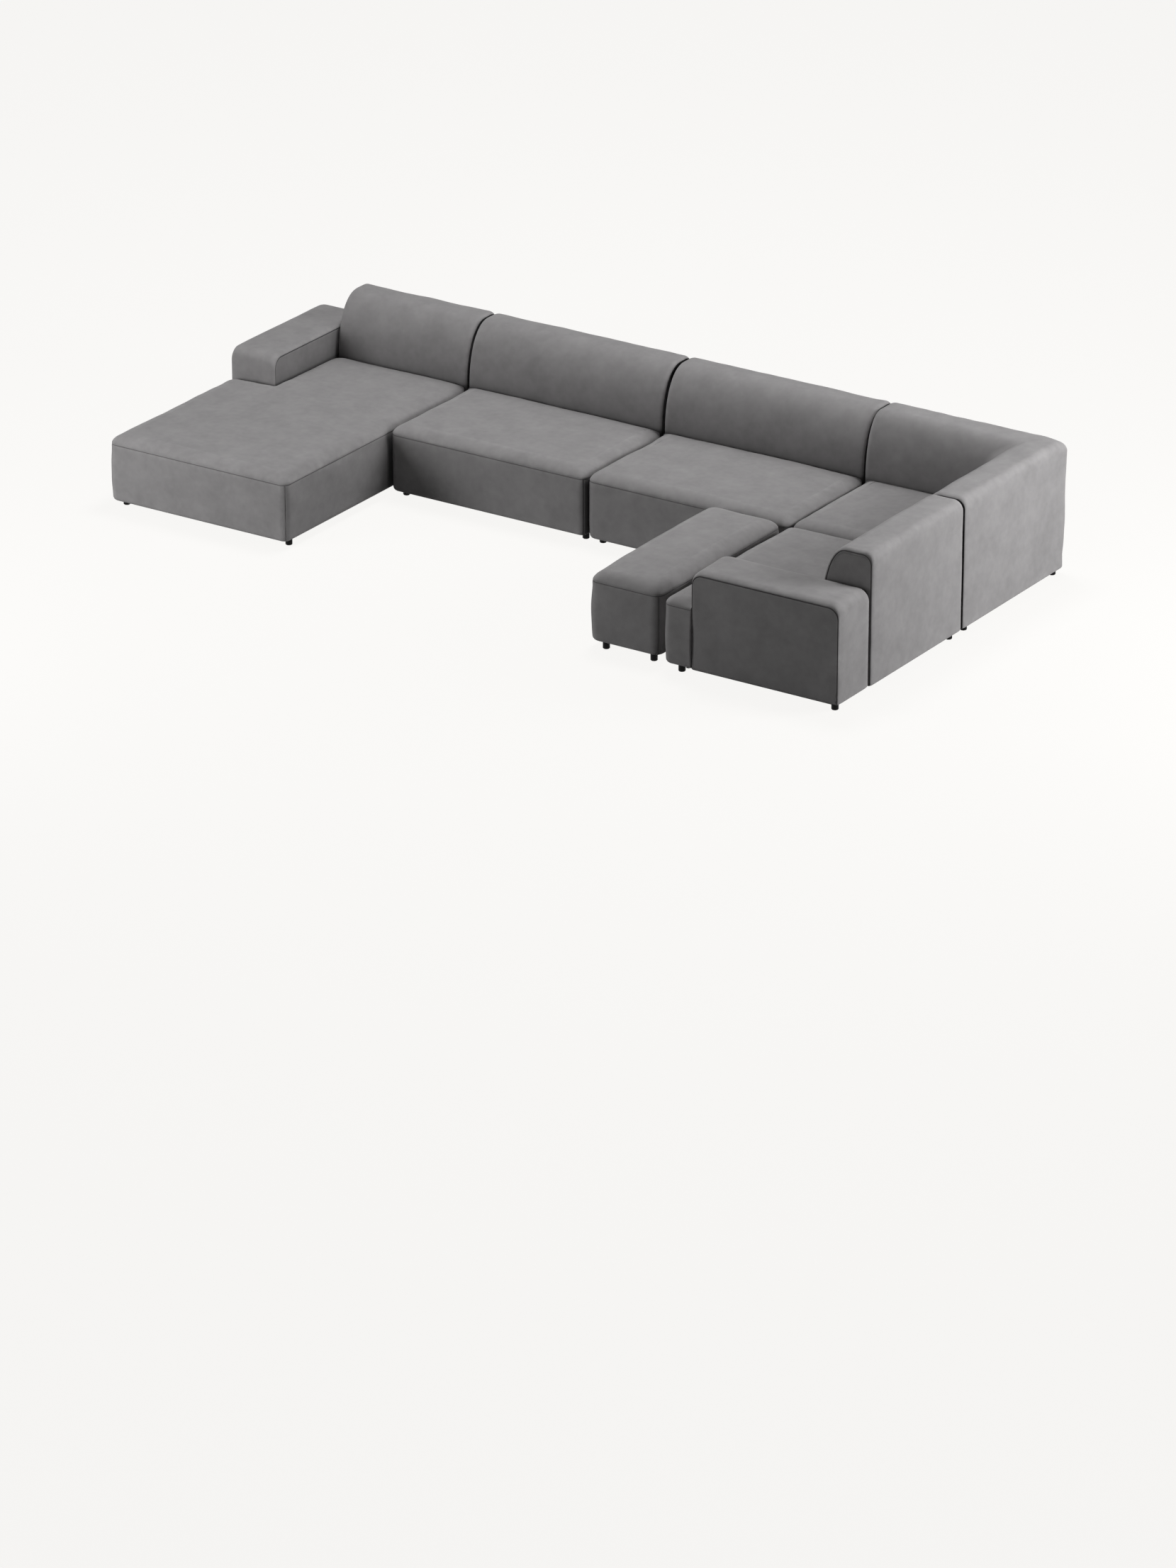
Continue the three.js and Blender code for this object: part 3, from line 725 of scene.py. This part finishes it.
class BackSection:
    """The side outline of a back as distance in front of its rear plane, and height."""

    def __init__(self, depth, top, form):
        rise, self.ridge, self.power = form
        self.depth, self.top = depth, top + rise
        starts = np.cumsum((0,) + back_steps)
        self.places = (0, *(starts[stretch] + step for stretch, step in panel_corners))

    def loop(self, draw):
        """The outline drawn in by draw at the front, 0.8 of it on top and half of it at the rear.

        From the rear foot it goes forward along the bottom, up the front, over the front on
        (ridge + a cos(t)^(2/p), knee + b sin(t)^(2/p)), and back down the rear.
        """
        rear, front, top = draw * 0.5, self.depth - draw, self.top - draw * 0.8
        r, low, rr, knee = back_bottom_round, bottom_height, back_rear_round, back_knee
        quarter = np.linspace(0, math.pi / 2, 240)[:, None]
        cos, sin = np.cos(quarter), np.sin(quarter)
        exponent = 2 / self.power
        lines = [
            np.array([[rear + r, low], [front - r, low]]),
            np.hstack([front - r + r * sin, low + r - r * cos]),
            np.array([[front, low + r], [front, knee]]),
            np.hstack([self.ridge + (front - self.ridge) * cos ** exponent,
                       knee + (top - knee) * sin ** exponent]),
            np.array([[self.ridge, top], [rear + rr, top]]),
            np.hstack([rear + rr - rr * sin, top - rr + rr * cos]),
            np.array([[rear, top - rr], [rear, low + r]]),
            np.hstack([rear + r - r * cos, low + r - r * sin]),
        ]
        return np.vstack([even_steps(line, count)[:-1] for line, count in zip(lines, back_steps)])

    def shade(self, loops, wide=0.38):
        """The painted contact shade of its foot, on the front only: it grows from the middle of the depth to
        0.8 of it.
        """
        return painted_contact_shade(loops[..., 1], wide) * ramp(loops[..., 0] / self.depth, 0.5, 0.3)

    def panel(self, loop):
        """The grid inside the outline, with its corners at the feet and at the front and rear shoulders."""
        a, b, c, e = self.places
        low, high = side_of(loop, a, b), side_of(loop, c, e)[::-1]
        left, right = side_of(loop, e, a)[::-1], side_of(loop, b, c)
        return patch_between(low, even_steps(high, len(low) - 1), even_steps(left, len(right) - 1), right)


class ArmSection:
    """The side outline of an arm as distance in front of its rear end, and height."""

    def __init__(self, length, top):
        self.length, self.top = length, top
        self.radii = np.array([arm_bottom_round, arm_bottom_round, arm_top_round, arm_top_round])
        self.counts = side_counts(self.corners(0.0), self.radii)
        self.counts[2:] = self.counts[:2]
        self.places = corner_places(self.counts)

    def corners(self, draw):
        rear, front, top = 0.35 * draw, self.length - 0.35 * draw, self.top - draw
        return np.array([[rear, bottom_height], [front, bottom_height], [front, top], [rear, top]])

    def loop(self, draw):
        """A rectangle with rounded corners, drawn in by draw on top and by 0.35 of it at both ends."""
        return outline(self.corners(draw), self.radii, self.counts)[0]

    def shade(self, loops):
        """An arm's ends and top are clear of the seat, so none of its run has painted contact shade."""
        return 0.0

    def panel(self, loop):
        """The grid inside the outline, with its corners at the middles of the arcs."""
        a, b, c, e = self.places
        return patch_between(side_of(loop, a, b), side_of(loop, c, e)[::-1],
                             side_of(loop, e, a)[::-1], side_of(loop, b, c))


def end_stations(along, depth):
    """A sewn end from its seam inwards, as distance along the run, draw and distance from the seam.

    The draw is depth (1 - sin a) and the distance along is length (1 - cos a), for a up to a quarter turn.
    """
    near = seam_steps[seam_steps < depth * 0.8]
    angle = np.concatenate([[0.0], np.arcsin(near / depth),
                            np.linspace(math.asin(near[-1] / depth), math.pi / 2, 9)[1:]])
    at = along * (1 - np.cos(angle))
    return at, depth * (1 - np.sin(angle)), np.hypot(at, depth * np.sin(angle))


def run_patch(section, at, draw, distance, sign, place):
    """The skin of a run: the section's outline at each station, moved along the run by the seam's groove."""
    loops = np.stack([section.loop(d) for d in draw])
    along = (at + seam_groove(distance) * sign)[:, None]
    grid = np.dstack([np.broadcast_to(along, loops.shape[:2]), loops])
    cloth = np.dstack(np.broadcast_arrays(at[:, None], way_round(section.loop(0.0))[None]))
    # Painted shade of the seams' grooves, and a back's painted contact shade at its foot
    seam = np.maximum((painted_seam_shade(distance, 2.2) * np.abs(sign))[:, None], section.shade(loops))
    return Patch(place(grid), cloth, seam, looseness(distance, loops[..., 1]), ring=True)


def swept_patches(section, ends, x0, x1, place, panels):
    """The skin of a straight back or an arm: the long run with its two rounded ends, and two panels.

    place turns (along, out, height) into points. ends gives each end's rounding length and depth, and
    panels says what each panel faces.
    """
    first, last = end_stations(*ends[0]), end_stations(*ends[1])
    run = np.linspace(x0 + first[0][-1], x1 - last[0][-1], max(int((x1 - x0) / cover_step), 6))[1:-1]
    at = np.concatenate([x0 + first[0], run, (x1 - last[0])[::-1]])
    draw = np.concatenate([first[1], 0 * run, last[1][::-1]])
    distance = np.concatenate([first[2], 0 * run + 1.0, last[2][::-1]])
    sign = np.concatenate([1 + 0 * first[0], 0 * run, -1 + 0 * last[0]])
    return [run_patch(section, at, draw, distance, sign, place),
            *panel_patches(section, ends[0][1], x0, 1.0, place, panels[0]),
            *panel_patches(section, ends[1][1], x1, -1.0, place, panels[1])]


def panel_patches(section, depth, at, inward, place, facing="slit"):
    """The flat end panel inside its seam: rings along the seam, then a grid.

    A panel that faces open air may swell. One that faces a seat stays flat and has painted contact shade at
    its foot, and one that faces the next module across a slit is flat and painted dark all over, as shade of
    the slit.
    """
    # Painted shade: contact shade where a seat meets the panel, and dark all over across a slit
    def dark(points):
        if facing == "seat":
            return painted_contact_shade(points[..., 1], 0.28)
        return float(facing == "slit")

    edge = section.loop(depth)
    distance = np.concatenate([[0.0], seam_steps[:6]])[:, None]
    flat = edge - loop_normals(edge) * distance[..., None]
    groove = seam_groove(0.0) * bell(distance, sizes().seam_width)
    x = at + inward * groove + 0 * flat[..., 0]
    # Painted shade of the seam's groove and of what the panel faces
    shade = np.maximum(painted_seam_shade(distance, 2.0), dark(flat))
    rings = Patch(place(np.dstack([x, flat])), flat, shade, 0.0, ring=True)
    grid = section.panel(flat[-1])
    low, high = grid.min(axis=(0, 1)), grid.max(axis=(0, 1))
    loose = ramp(np.minimum(grid - low, high - grid).min(axis=-1), 0.0, 0.04) if facing == "air" else 0.0
    points = place(np.dstack([np.full(grid.shape[:2], at), grid]))
    return [rings, Patch(points, grid, dark(grid), loose)]


def corner_patches(section, end, x0, y0, right, rear):
    """The skin of the corner's back: along the rear to the mitre, round the outer corner and forward.

    A point at distance out in front of the rear plane meets the mitre at right - c, rear - c with
    c = max(out, R) + f, and goes round on a radius of max(R - out, 0) + f, where f is the fillet of the
    inner corner, which grows from the top's middle to the front. With w = 1 - d / reach, for a
    distance d from the upright outer corner, the padding swells out there by bulge w sin(t) on both
    sides, where t grows from 0 at the foot to a quarter turn, and its top comes down by drop w^2.
    """
    at, draw, distance = end_stations(*end)
    even = np.linspace(0, 1, max(int((right - x0) / cover_step), 6))[1:-1]
    share = np.concatenate([even, [1 - 0.004, 1 - 0.0015, 1.0]])[:, None]
    base = section.loop(0.0)
    out, height = base.T
    fillet = inner_fillet * ramp(out, 0.10, 0.15) ** 2 * ramp(height, 0.30, 0.08)
    from_mitre = np.maximum(out, corner_radius) + fillet

    def run(start, far, place):
        """A run's sewn end, and its length as far as the mitre."""
        loops = np.stack([section.loop(d) for d in draw])
        x = np.broadcast_to((start + at + seam_groove(distance))[:, None], loops.shape[:2])
        long_x = start + at[-1] + share * (far - from_mitre - start - at[-1])
        long_loops = np.broadcast_to(base, (len(share), *base.shape))
        return place(np.concatenate([np.dstack([x, loops]), np.dstack([long_x, long_loops])]))

    def place_wing(grid):
        """The wing runs along the sofa's right side, with its rear plane at right."""
        return np.stack([right - grid[..., 1], grid[..., 0], grid[..., 2]], axis=-1)

    place_rear = placer(rear)
    turn = np.linspace(0, math.pi / 2, 13)[1:-1, None]
    radius = np.maximum(corner_radius - out, 0.0) + fillet
    around = np.stack([right - from_mitre + radius * np.sin(turn), rear - from_mitre + radius * np.cos(turn),
                       np.broadcast_to(height, (len(turn), len(base)))], axis=-1)
    grid = np.concatenate([run(x0, right, place_rear), around, run(y0, rear, place_wing)[::-1]])
    x, y, z = np.moveaxis(grid, -1, 0)
    near_corner = 1 - ramp(np.hypot(right - x, rear - y), 0.0, corner_reach)
    swell = corner_bulge * near_corner * np.sin(ramp(z, 0.12, 0.50) * math.pi / 2)
    grid = grid + np.dstack([swell, swell, -corner_drop * near_corner ** 2 * ramp(z, 0.60, 0.155)])

    around_it = way_round(base)
    along = closed_rows(running_length(grid, 0))
    cloth = np.dstack([along, np.broadcast_to(around_it, along.shape)])
    from_seam = np.full(len(grid), 1.0)
    from_seam[:len(at)], from_seam[-len(at):] = distance, distance[::-1]
    # Painted shade of the seams' grooves, and painted contact shade at the foot
    seam = np.maximum(painted_seam_shade(from_seam, 3.6)[:, None], section.shade(base, 0.2)[None])
    return [Patch(grid, cloth, seam, looseness(from_seam, grid[..., 2]), ring=True),
            *panel_patches(section, end[1], x0, 1.0, place_rear),
            *panel_patches(section, end[1], y0, 1.0, place_wing)]


# Finishes

class Nodes:
    """Adds shader nodes to a tree, and links or sets their inputs."""

    def __init__(self, tree):
        self.tree = tree

    def feed(self, made, inputs):
        """Links the inputs that are given as sockets, and sets those that are given as values."""
        for key, value in inputs.items():
            if isinstance(value, bpy.types.NodeSocket):
                self.tree.links.new(value, made.inputs[key])
            else:
                made.inputs[key].default_value = value

    def add(self, kind, inputs=None, **settings):
        """A new node of a kind. Returns its outputs."""
        made = self.tree.nodes.new("ShaderNode" + kind)
        for key, value in settings.items():
            setattr(made, key, value)
        self.feed(made, inputs or {})
        return made.outputs

    def math(self, operation, *values):
        return self.add("Math", dict(enumerate(values)), operation=operation)[0]

    def noise(self, place, scale, detail, roughness):
        inputs = {"Vector": place, "Scale": scale, "Detail": detail, "Roughness": roughness}
        return self.add("TexNoise", inputs)["Fac"]

    def spread(self, value, start, end, low, high):
        """Low where the value is start, high where it is end, and straight between them."""
        inputs = {"Value": value, "From Min": start, "From Max": end, "To Min": low, "To Max": high}
        return self.add("MapRange", inputs)[0]

    def attribute(self, name):
        return self.add("Attribute", attribute_name=name)["Fac"]

    def tint(self, colour, shade):
        return self.add("VectorMath", {0: tuple(colour), "Scale": shade}, operation="SCALE")[0]

    def bump(self, strength, distance, height):
        return self.add("Bump", {"Strength": strength, "Distance": distance, "Height": height})[0]

    def mix(self, share, one, other):
        return self.add("MixShader", {0: share, 1: one, 2: other})[0]


def new_material(name):
    """A material with its shader and the helper that adds nodes to its tree."""
    material = bpy.data.materials.new(name)
    material.use_nodes = True
    tree = material.node_tree
    return material, tree.nodes["Principled BSDF"], Nodes(tree)


def fabric_material():
    """Short-napped weave: crossed sine yarns for the height, with cloudy changes of tone at three scales.

    The attribute seam darkens it with painted shade at seams, slits and creases, and the attribute wear makes
    it a little paler and less rough.
    """
    if "sofa_fabric" in bpy.data.materials:
        return bpy.data.materials["sofa_fabric"]
    material, shader, nodes = new_material("sofa_fabric")
    place = nodes.add("TexCoord")["Object"]
    cloud = nodes.noise(place, 7.0, 3.0, 0.55)
    patchy = nodes.noise(place, 26.0, 2.0, 0.5)
    nap = nodes.noise(place, 620.0, 2.0, 0.6)
    tone = nodes.math("MULTIPLY", cloud, 0.52)
    tone = nodes.math("MULTIPLY_ADD", patchy, 0.30, tone)
    tone = nodes.math("MULTIPLY_ADD", nap, 0.18, tone)
    # Painted shade: the seam attribute darkens the cloth down to 0.16 of its colour
    dark = nodes.spread(nodes.attribute("seam"), 0.0, 1.0, 1.0, 0.16)
    shade = nodes.math("MULTIPLY", nodes.spread(tone, 0.34, 0.66, 0.89, 1.11), dark)
    rubbed = nodes.math("MULTIPLY", nodes.attribute("wear"), patchy)
    shade = nodes.math("MULTIPLY", shade, nodes.math("MULTIPLY_ADD", rubbed, 0.14, 1.0))

    cloth = nodes.add("SeparateXYZ", {0: nodes.add("UVMap", uv_map="cloth")[0]})
    turns = 2 * math.pi / yarn_spacing
    yarns = [nodes.math("SINE", nodes.math("MULTIPLY", cloth[axis], turns)) for axis in (0, 1)]
    height = nodes.math("MULTIPLY_ADD", nodes.math("MULTIPLY", *yarns), 0.25, nap)
    nodes.feed(shader, {
        "Base Color": nodes.tint(finishes().fabric, shade),
        "Normal": nodes.bump(0.25, nap_height, height),
        "Roughness": nodes.spread(rubbed, 0.0, 1.0, 0.96, 0.80),
        "Sheen Weight": 0.18,
        "Sheen Roughness": 0.45,
        "Sheen Tint": (0.9, 0.9, 0.92, 1.0),
        "Specular IOR Level": 0.25,
    })
    return material


def plain_material(name, colour, roughness, metallic=0.0, grain=(1.0, 1.0, 1.0), scale=60.0, contrast=0.12,
                   bump=0.1, gloss=0.5):
    """Colour with stretched noise in its tone, roughness and height, read from object coordinates."""
    material, shader, nodes = new_material(name)
    stretch = nodes.add("Mapping", {"Vector": nodes.add("TexCoord")["Object"], "Scale": grain})[0]
    noise = nodes.noise(stretch, scale, 4.0, 0.55)
    nodes.feed(shader, {
        "Base Color": nodes.tint(colour, nodes.spread(noise, 0.3, 0.7, 1.0 - contrast, 1.0 + contrast)),
        "Normal": nodes.bump(bump, grain_height, noise),
        "Roughness": nodes.spread(noise, 0.0, 1.0, roughness - 0.06, roughness + 0.06),
        "Metallic": metallic,
        "Specular IOR Level": gloss,
    })
    return material


# Studio

def add_camera(scene):
    """A long lens that looks down on the sofa from the front right, at the photograph's angle."""
    azimuth, elevation = (math.radians(angle) for angle in camera_angles)
    level = math.cos(elevation)
    back = Vector((math.sin(azimuth) * level, -math.cos(azimuth) * level, math.sin(elevation)))
    data = bpy.data.cameras.new("camera")
    data.lens, data.sensor_width, data.sensor_fit = camera_lens, 36.0, "AUTO"
    data.clip_start, data.clip_end = 0.5, 400.0
    camera = add_object("camera", data)
    camera.location = Vector(camera_target) + back * camera_distance
    camera.rotation_mode = "QUATERNION"
    camera.rotation_quaternion = (-back).to_track_quat("-Z", "Y")
    scene.camera = camera


def seen_directly(nodes):
    """One for camera, mirror and glass rays, and zero for the light that falls on things."""
    path = nodes.add("LightPath")
    seen = nodes.math("MAXIMUM", path["Is Camera Ray"], path["Is Glossy Ray"])
    return nodes.math("MAXIMUM", seen, path["Is Transmission Ray"])


def add_floor(bounce):
    """A wide pale floor. Seen directly it is mostly its own even colour, and a part still takes the shadow.

    The light that it throws back on the sofa is duller, by bounce, as from a floor that ends at the
    backdrop.
    """
    material, shader, nodes = new_material("studio_floor")
    colour = (*finishes().floor, 1.0)
    nodes.feed(shader, {"Base Color": colour, "Roughness": 0.9, "Specular IOR Level": 0.0})
    dull = nodes.add("BsdfDiffuse", {"Color": (bounce, bounce, bounce, 1.0)})[0]
    even = nodes.add("Emission", {"Color": colour, "Strength": floor_brightness})[0]
    pale = nodes.mix(floor_even_share, shader.outputs[0], even)
    surface = nodes.mix(seen_directly(nodes), dull, pale)
    nodes.feed(nodes.tree.nodes["Material Output"], {"Surface": surface})
    mesh = bpy.data.meshes.new("floor")
    low, high = -floor_reach, floor_reach
    corners = [(low, low, 0.0), (high, low, 0.0), (high, high, 0.0), (low, high, 0.0)]
    mesh.from_pydata(corners, [], [(0, 1, 2, 3)])
    mesh.materials.append(material)
    floor = add_object("floor", mesh)


def add_sky(scene, strength):
    """Even light from all round, which is seen directly as the floor's own colour."""
    world = bpy.data.worlds.new("studio_sky")
    world.use_nodes = True
    nodes = Nodes(world.node_tree)
    light = nodes.tree.nodes["Background"]
    nodes.feed(light, {"Color": (1.0, 1.0, 1.0, 1.0), "Strength": strength})
    backdrop = nodes.add("Background", {"Color": (*finishes().floor, 1.0), "Strength": 1.0})[0]
    surface = nodes.mix(seen_directly(nodes), light.outputs[0], backdrop)
    nodes.feed(nodes.tree.nodes["World Output"], {"Surface": surface})
    scene.world = world


def add_lamp(name, power, diameter, place, aim):
    data = bpy.data.lights.new(name, "AREA")
    data.energy, data.size, data.shape = power, diameter, "DISK"
    lamp = add_object(name, data)
    lamp.location = place
    lamp.rotation_euler = (Vector(aim) - Vector(place)).to_track_quat("-Z", "Y").to_euler()


# Operators

class SOFA_OT_stage(bpy.types.Operator):
    """Set the floor, the lamps and the camera"""

    bl_idname = "sofa.stage"
    bl_label = "Studio"

    def execute(self, context):
        scene = context.scene
        scene.view_settings.view_transform = "Standard"
        add_camera(scene)
        add_floor(scene.sofa_studio.bounce)
        add_sky(scene, scene.sofa_studio.sky)
        for name, (diameter, place, aim) in lamps.items():
            add_lamp(name, getattr(scene.sofa_studio, name), diameter, place, aim)
        return {"FINISHED"}


class SOFA_OT_seats(bpy.types.Operator):
    """Sew the covers of the five seats"""

    bl_idname = "sofa.seats"
    bl_label = "Seat covers"

    def execute(self, context):
        # The chaise's right side faces seat_1 only behind the front of seat_1's upholstery, and from
        # slit_lead before there its band is painted dark as shade of the slit
        beside_seat_1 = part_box("seat_1_upholstery")[0][1] - slit_lead
        everywhere = -10.0
        # module, turned, side that the arm stands on, hidden sides (painted dark as shade), sides that face
        # the next module (painted dark as shade of the slit)
        rows = [
            ("chaise", False, "left", ("rear",), {"right": beside_seat_1}),
            ("seat_1", False, None, ("rear",), {"left": everywhere, "right": everywhere}),
            ("seat_2", False, None, ("rear",), {"left": everywhere, "right": everywhere}),
            ("corner", False, None, ("rear", "right"), {"left": everywhere, "front": everywhere}),
            ("end_seat", True, "right", ("rear",), {"right": everywhere}),
        ]
        for seed, (module, turned, arm_side, hidden, slits) in enumerate(rows):
            low, high = module_box(f"{module}_upholstery", turned)
            notch = None
            if arm_side:
                arm_low, arm_high = module_box(f"{module}_arm_upholstery", turned)
                notch = (arm_high[0] + notch_gap, arm_low[1] - notch_gap)
            # A seat with its arm on the right is sewn as its mirror image
            mirrored = arm_side == "right"
            if mirrored:
                low[0], high[0] = -high[0], -low[0]
                notch = (-(arm_low[0] - notch_gap), notch[1])
            shape = SeatShape([low[0], high[0], low[1], high[1]], sizes().seat_crown, rear_tuck=seat_tuck,
                              right_tuck=seat_tuck if "right" in hidden else 0.0, notch=notch)
            patches = seat_patches(shape, seat_corner_radius, hidden, slits)
            for patch in patches:
                patch.points = to_sofa(patch.points * [-1.0 if mirrored else 1.0, 1.0, 1.0], turned)
            sew_cover(f"{module}_seat_cover", patches, seed, f"{module}_upholstery", module)
        return {"FINISHED"}


class SOFA_OT_ottoman(bpy.types.Operator):
    """Sew the cover of the ottoman"""

    bl_idname = "sofa.ottoman"
    bl_label = "Ottoman cover"

    def execute(self, context):
        low, high = module_box("ottoman_upholstery")
        plan = [low[0], high[0], low[1], high[1]]
        shape = SeatShape(plan, sizes().ottoman_crown, lift=ottoman_lift, bulge=ottoman_bulge)
        patches = seat_patches(shape, ottoman_corner_radii)
        sew_cover("ottoman_cover", patches, 9, "ottoman_upholstery", "ottoman")
        return {"FINISHED"}


class SOFA_OT_backs(bpy.types.Operator):
    """Sew the covers of the four straight backs"""

    bl_idname = "sofa.backs"
    bl_label = "Back covers"

    def execute(self, context):
        # module, turned, form, how far its left and right ends stand back from its solid's, what they face (a
        # panel that faces a slit is painted dark as shade of the slit)
        rows = [
            ("chaise", False, plain_back, (0.0, -0.002), ("air", "slit")),
            ("seat_1", False, plain_back, (0.008, 0.003), ("slit", "slit")),
            ("seat_2", False, plain_back, (0.007, 0.005), ("slit", "slit")),
            ("end_seat", True, end_seat_back, (0.005, 0.0), ("slit", "air")),
        ]
        for seed, (module, turned, form, back_off, panels) in enumerate(rows):
            node = f"{module}_back_upholstery"
            low, high = module_box(node, turned)
            section = BackSection(high[1] - low[1], high[2], form)
            ends = [end_roundings[panel] for panel in panels]
            patches = swept_patches(section, ends, low[0] + back_off[0], high[0] - back_off[1],
                                    placer(high[1], turned), panels)
            sew_cover(f"{module}_back_cover", patches, 20 + seed, node, module)
        return {"FINISHED"}


class SOFA_OT_corner_back(bpy.types.Operator):
    """Sew the cover of the corner's back"""

    bl_idname = "sofa.corner_back"
    bl_label = "Corner back cover"

    def execute(self, context):
        low, high = module_box("corner_back_upholstery")
        beside_low, beside_high = module_box("seat_2_back_upholstery")
        section = BackSection(beside_high[1] - beside_low[1], high[2], corner_back)
        # As in the photograph, its rear run starts 3 mm before its solid, and its wing 6 mm behind it
        starts = (low[0] - 0.003, low[1] + 0.006)
        patches = corner_patches(section, end_roundings["slit"], *starts, high[0], high[1])
        sew_cover("corner_back_cover", patches, 30, "corner_back_upholstery", "corner")
        return {"FINISHED"}


class SOFA_OT_arms(bpy.types.Operator):
    """Sew the covers of the two arms"""

    bl_idname = "sofa.arms"
    bl_label = "Arm covers"

    def execute(self, context):
        # module, turned, how far its front and its rear stand before its solid's, what its ends face (one
        # that faces the seat has painted contact shade at its foot)
        rows = [
            ("chaise", False, 0.0, 0.0, ("air", "seat")),
            ("end_seat", True, 0.009, 0.006, ("seat", "air")),
        ]
        for seed, (module, turned, reach, short, panels) in enumerate(rows):
            node = f"{module}_arm_upholstery"
            low, high = module_box(node, turned)
            section = ArmSection(high[1] - low[1] + reach - short, high[2])
            patches = swept_patches(section, (arm_rounding, arm_rounding), low[0], high[0],
                                    placer(high[1] - short, turned), panels)
            sew_cover(f"{module}_arm_cover", patches, 40 + seed, node, module)
        return {"FINISHED"}


class SOFA_OT_dust_covers(bpy.types.Operator):
    """Stretch the black dust covers under the modules"""

    bl_idname = "sofa.dust_covers"
    bl_label = "Dust covers"

    def execute(self, context):
        material = plain_material("dust_cover", finishes().lining, 0.9, scale=900.0, contrast=0.35, bump=0.4)
        for module in ("chaise", "seat_1", "seat_2", "corner", "end_seat", "ottoman"):
            nodes = [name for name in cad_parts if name.startswith(module + "_")]
            boxes = [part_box(name) for name in nodes if name.endswith("upholstery")]
            low = np.min([box[0] for box in boxes], axis=0) + dust_cover_inset
            high = np.max([box[1] for box in boxes], axis=0) - dust_cover_inset
            counts = np.maximum(((high - low)[:2] / dust_cover_step).astype(int), 4)
            x = np.linspace(low[0], high[0], counts[0] + 1)
            y = np.linspace(low[1], high[1], counts[1] + 1)
            grid = np.dstack([*np.meshgrid(x, y), np.full((len(y), len(x)), dust_cover_height)])
            mesh = bpy.data.meshes.new(f"{module}_dust_cover")
            faces = grid_faces(len(y), len(x))[:, ::-1]
            mesh.from_pydata(grid.reshape(-1, 3).tolist(), [], faces.tolist())
            mesh.materials.append(material)
            cloth = add_object(mesh.name, mesh)
            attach(cloth, module)
        return {"FINISHED"}


class SOFA_OT_frames(bpy.types.Operator):
    """Finish the timber, the webbing, the plates and the feet"""

    bl_idname = "sofa.frames"
    bl_label = "Frames, plates and feet"

    def execute(self, context):
        f = finishes()
        timber = plain_material("sofa_timber", f.timber, 0.62, grain=(1.0, 9.0, 9.0), scale=9.0,
                                contrast=0.2, bump=0.2)
        webbing = plain_material("sofa_webbing", f.webbing, 0.85, scale=700.0, contrast=0.3, bump=0.5)
        plastic = plain_material("foot_plastic", f.foot, 0.5, scale=500.0, contrast=0.15,
                                 bump=0.15, gloss=0.12)
        steel = plain_material("plate_steel", f.steel, 0.38, metallic=1.0, grain=(1.0, 30.0, 30.0),
                               contrast=0.08)
        materials = {"_frame": timber, "_webbing": webbing, "_foot_": plastic, "joining_plate": steel}
        for name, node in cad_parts.items():
            for part, material in materials.items():
                if part in name:
                    node.data.materials.clear()
                    node.data.materials.append(material)
        return {"FINISHED"}


class SOFA_PT_panel(bpy.types.Panel):
    """The sofa's operators and settings"""

    bl_idname = "SOFA_PT_panel"
    bl_label = "Modular corner sofa"
    bl_space_type = "VIEW_3D"
    bl_region_type = "UI"
    bl_category = "Sofa"

    def draw(self, context):
        for operator in operators:
            self.layout.operator(operator.bl_idname)
        for group in groups:
            settings = getattr(context.scene, group)
            for key in settings.__annotations__:
                self.layout.prop(settings, key)


groups = {"sofa_sizes": SofaSizes, "sofa_finishes": SofaFinishes, "sofa_studio": SofaStudio}
operators = [SOFA_OT_stage, SOFA_OT_seats, SOFA_OT_ottoman, SOFA_OT_backs, SOFA_OT_corner_back,
             SOFA_OT_arms, SOFA_OT_dust_covers, SOFA_OT_frames]


def register():
    for made in [*groups.values(), *operators, SOFA_PT_panel]:
        bpy.utils.register_class(made)
    for key, group in groups.items():
        setattr(bpy.types.Scene, key, PointerProperty(type=group))


def unregister():
    for key in groups:
        delattr(bpy.types.Scene, key)
    for made in [SOFA_PT_panel, *reversed(operators), *reversed(groups.values())]:
        bpy.utils.unregister_class(made)


def main():
    register()
    bpy.ops.sofa.stage()
    bpy.ops.sofa.seats()
    bpy.ops.sofa.ottoman()
    bpy.ops.sofa.backs()
    bpy.ops.sofa.corner_back()
    bpy.ops.sofa.arms()
    bpy.ops.sofa.dust_covers()
    bpy.ops.sofa.frames()


if __name__ == "__main__":
    main()
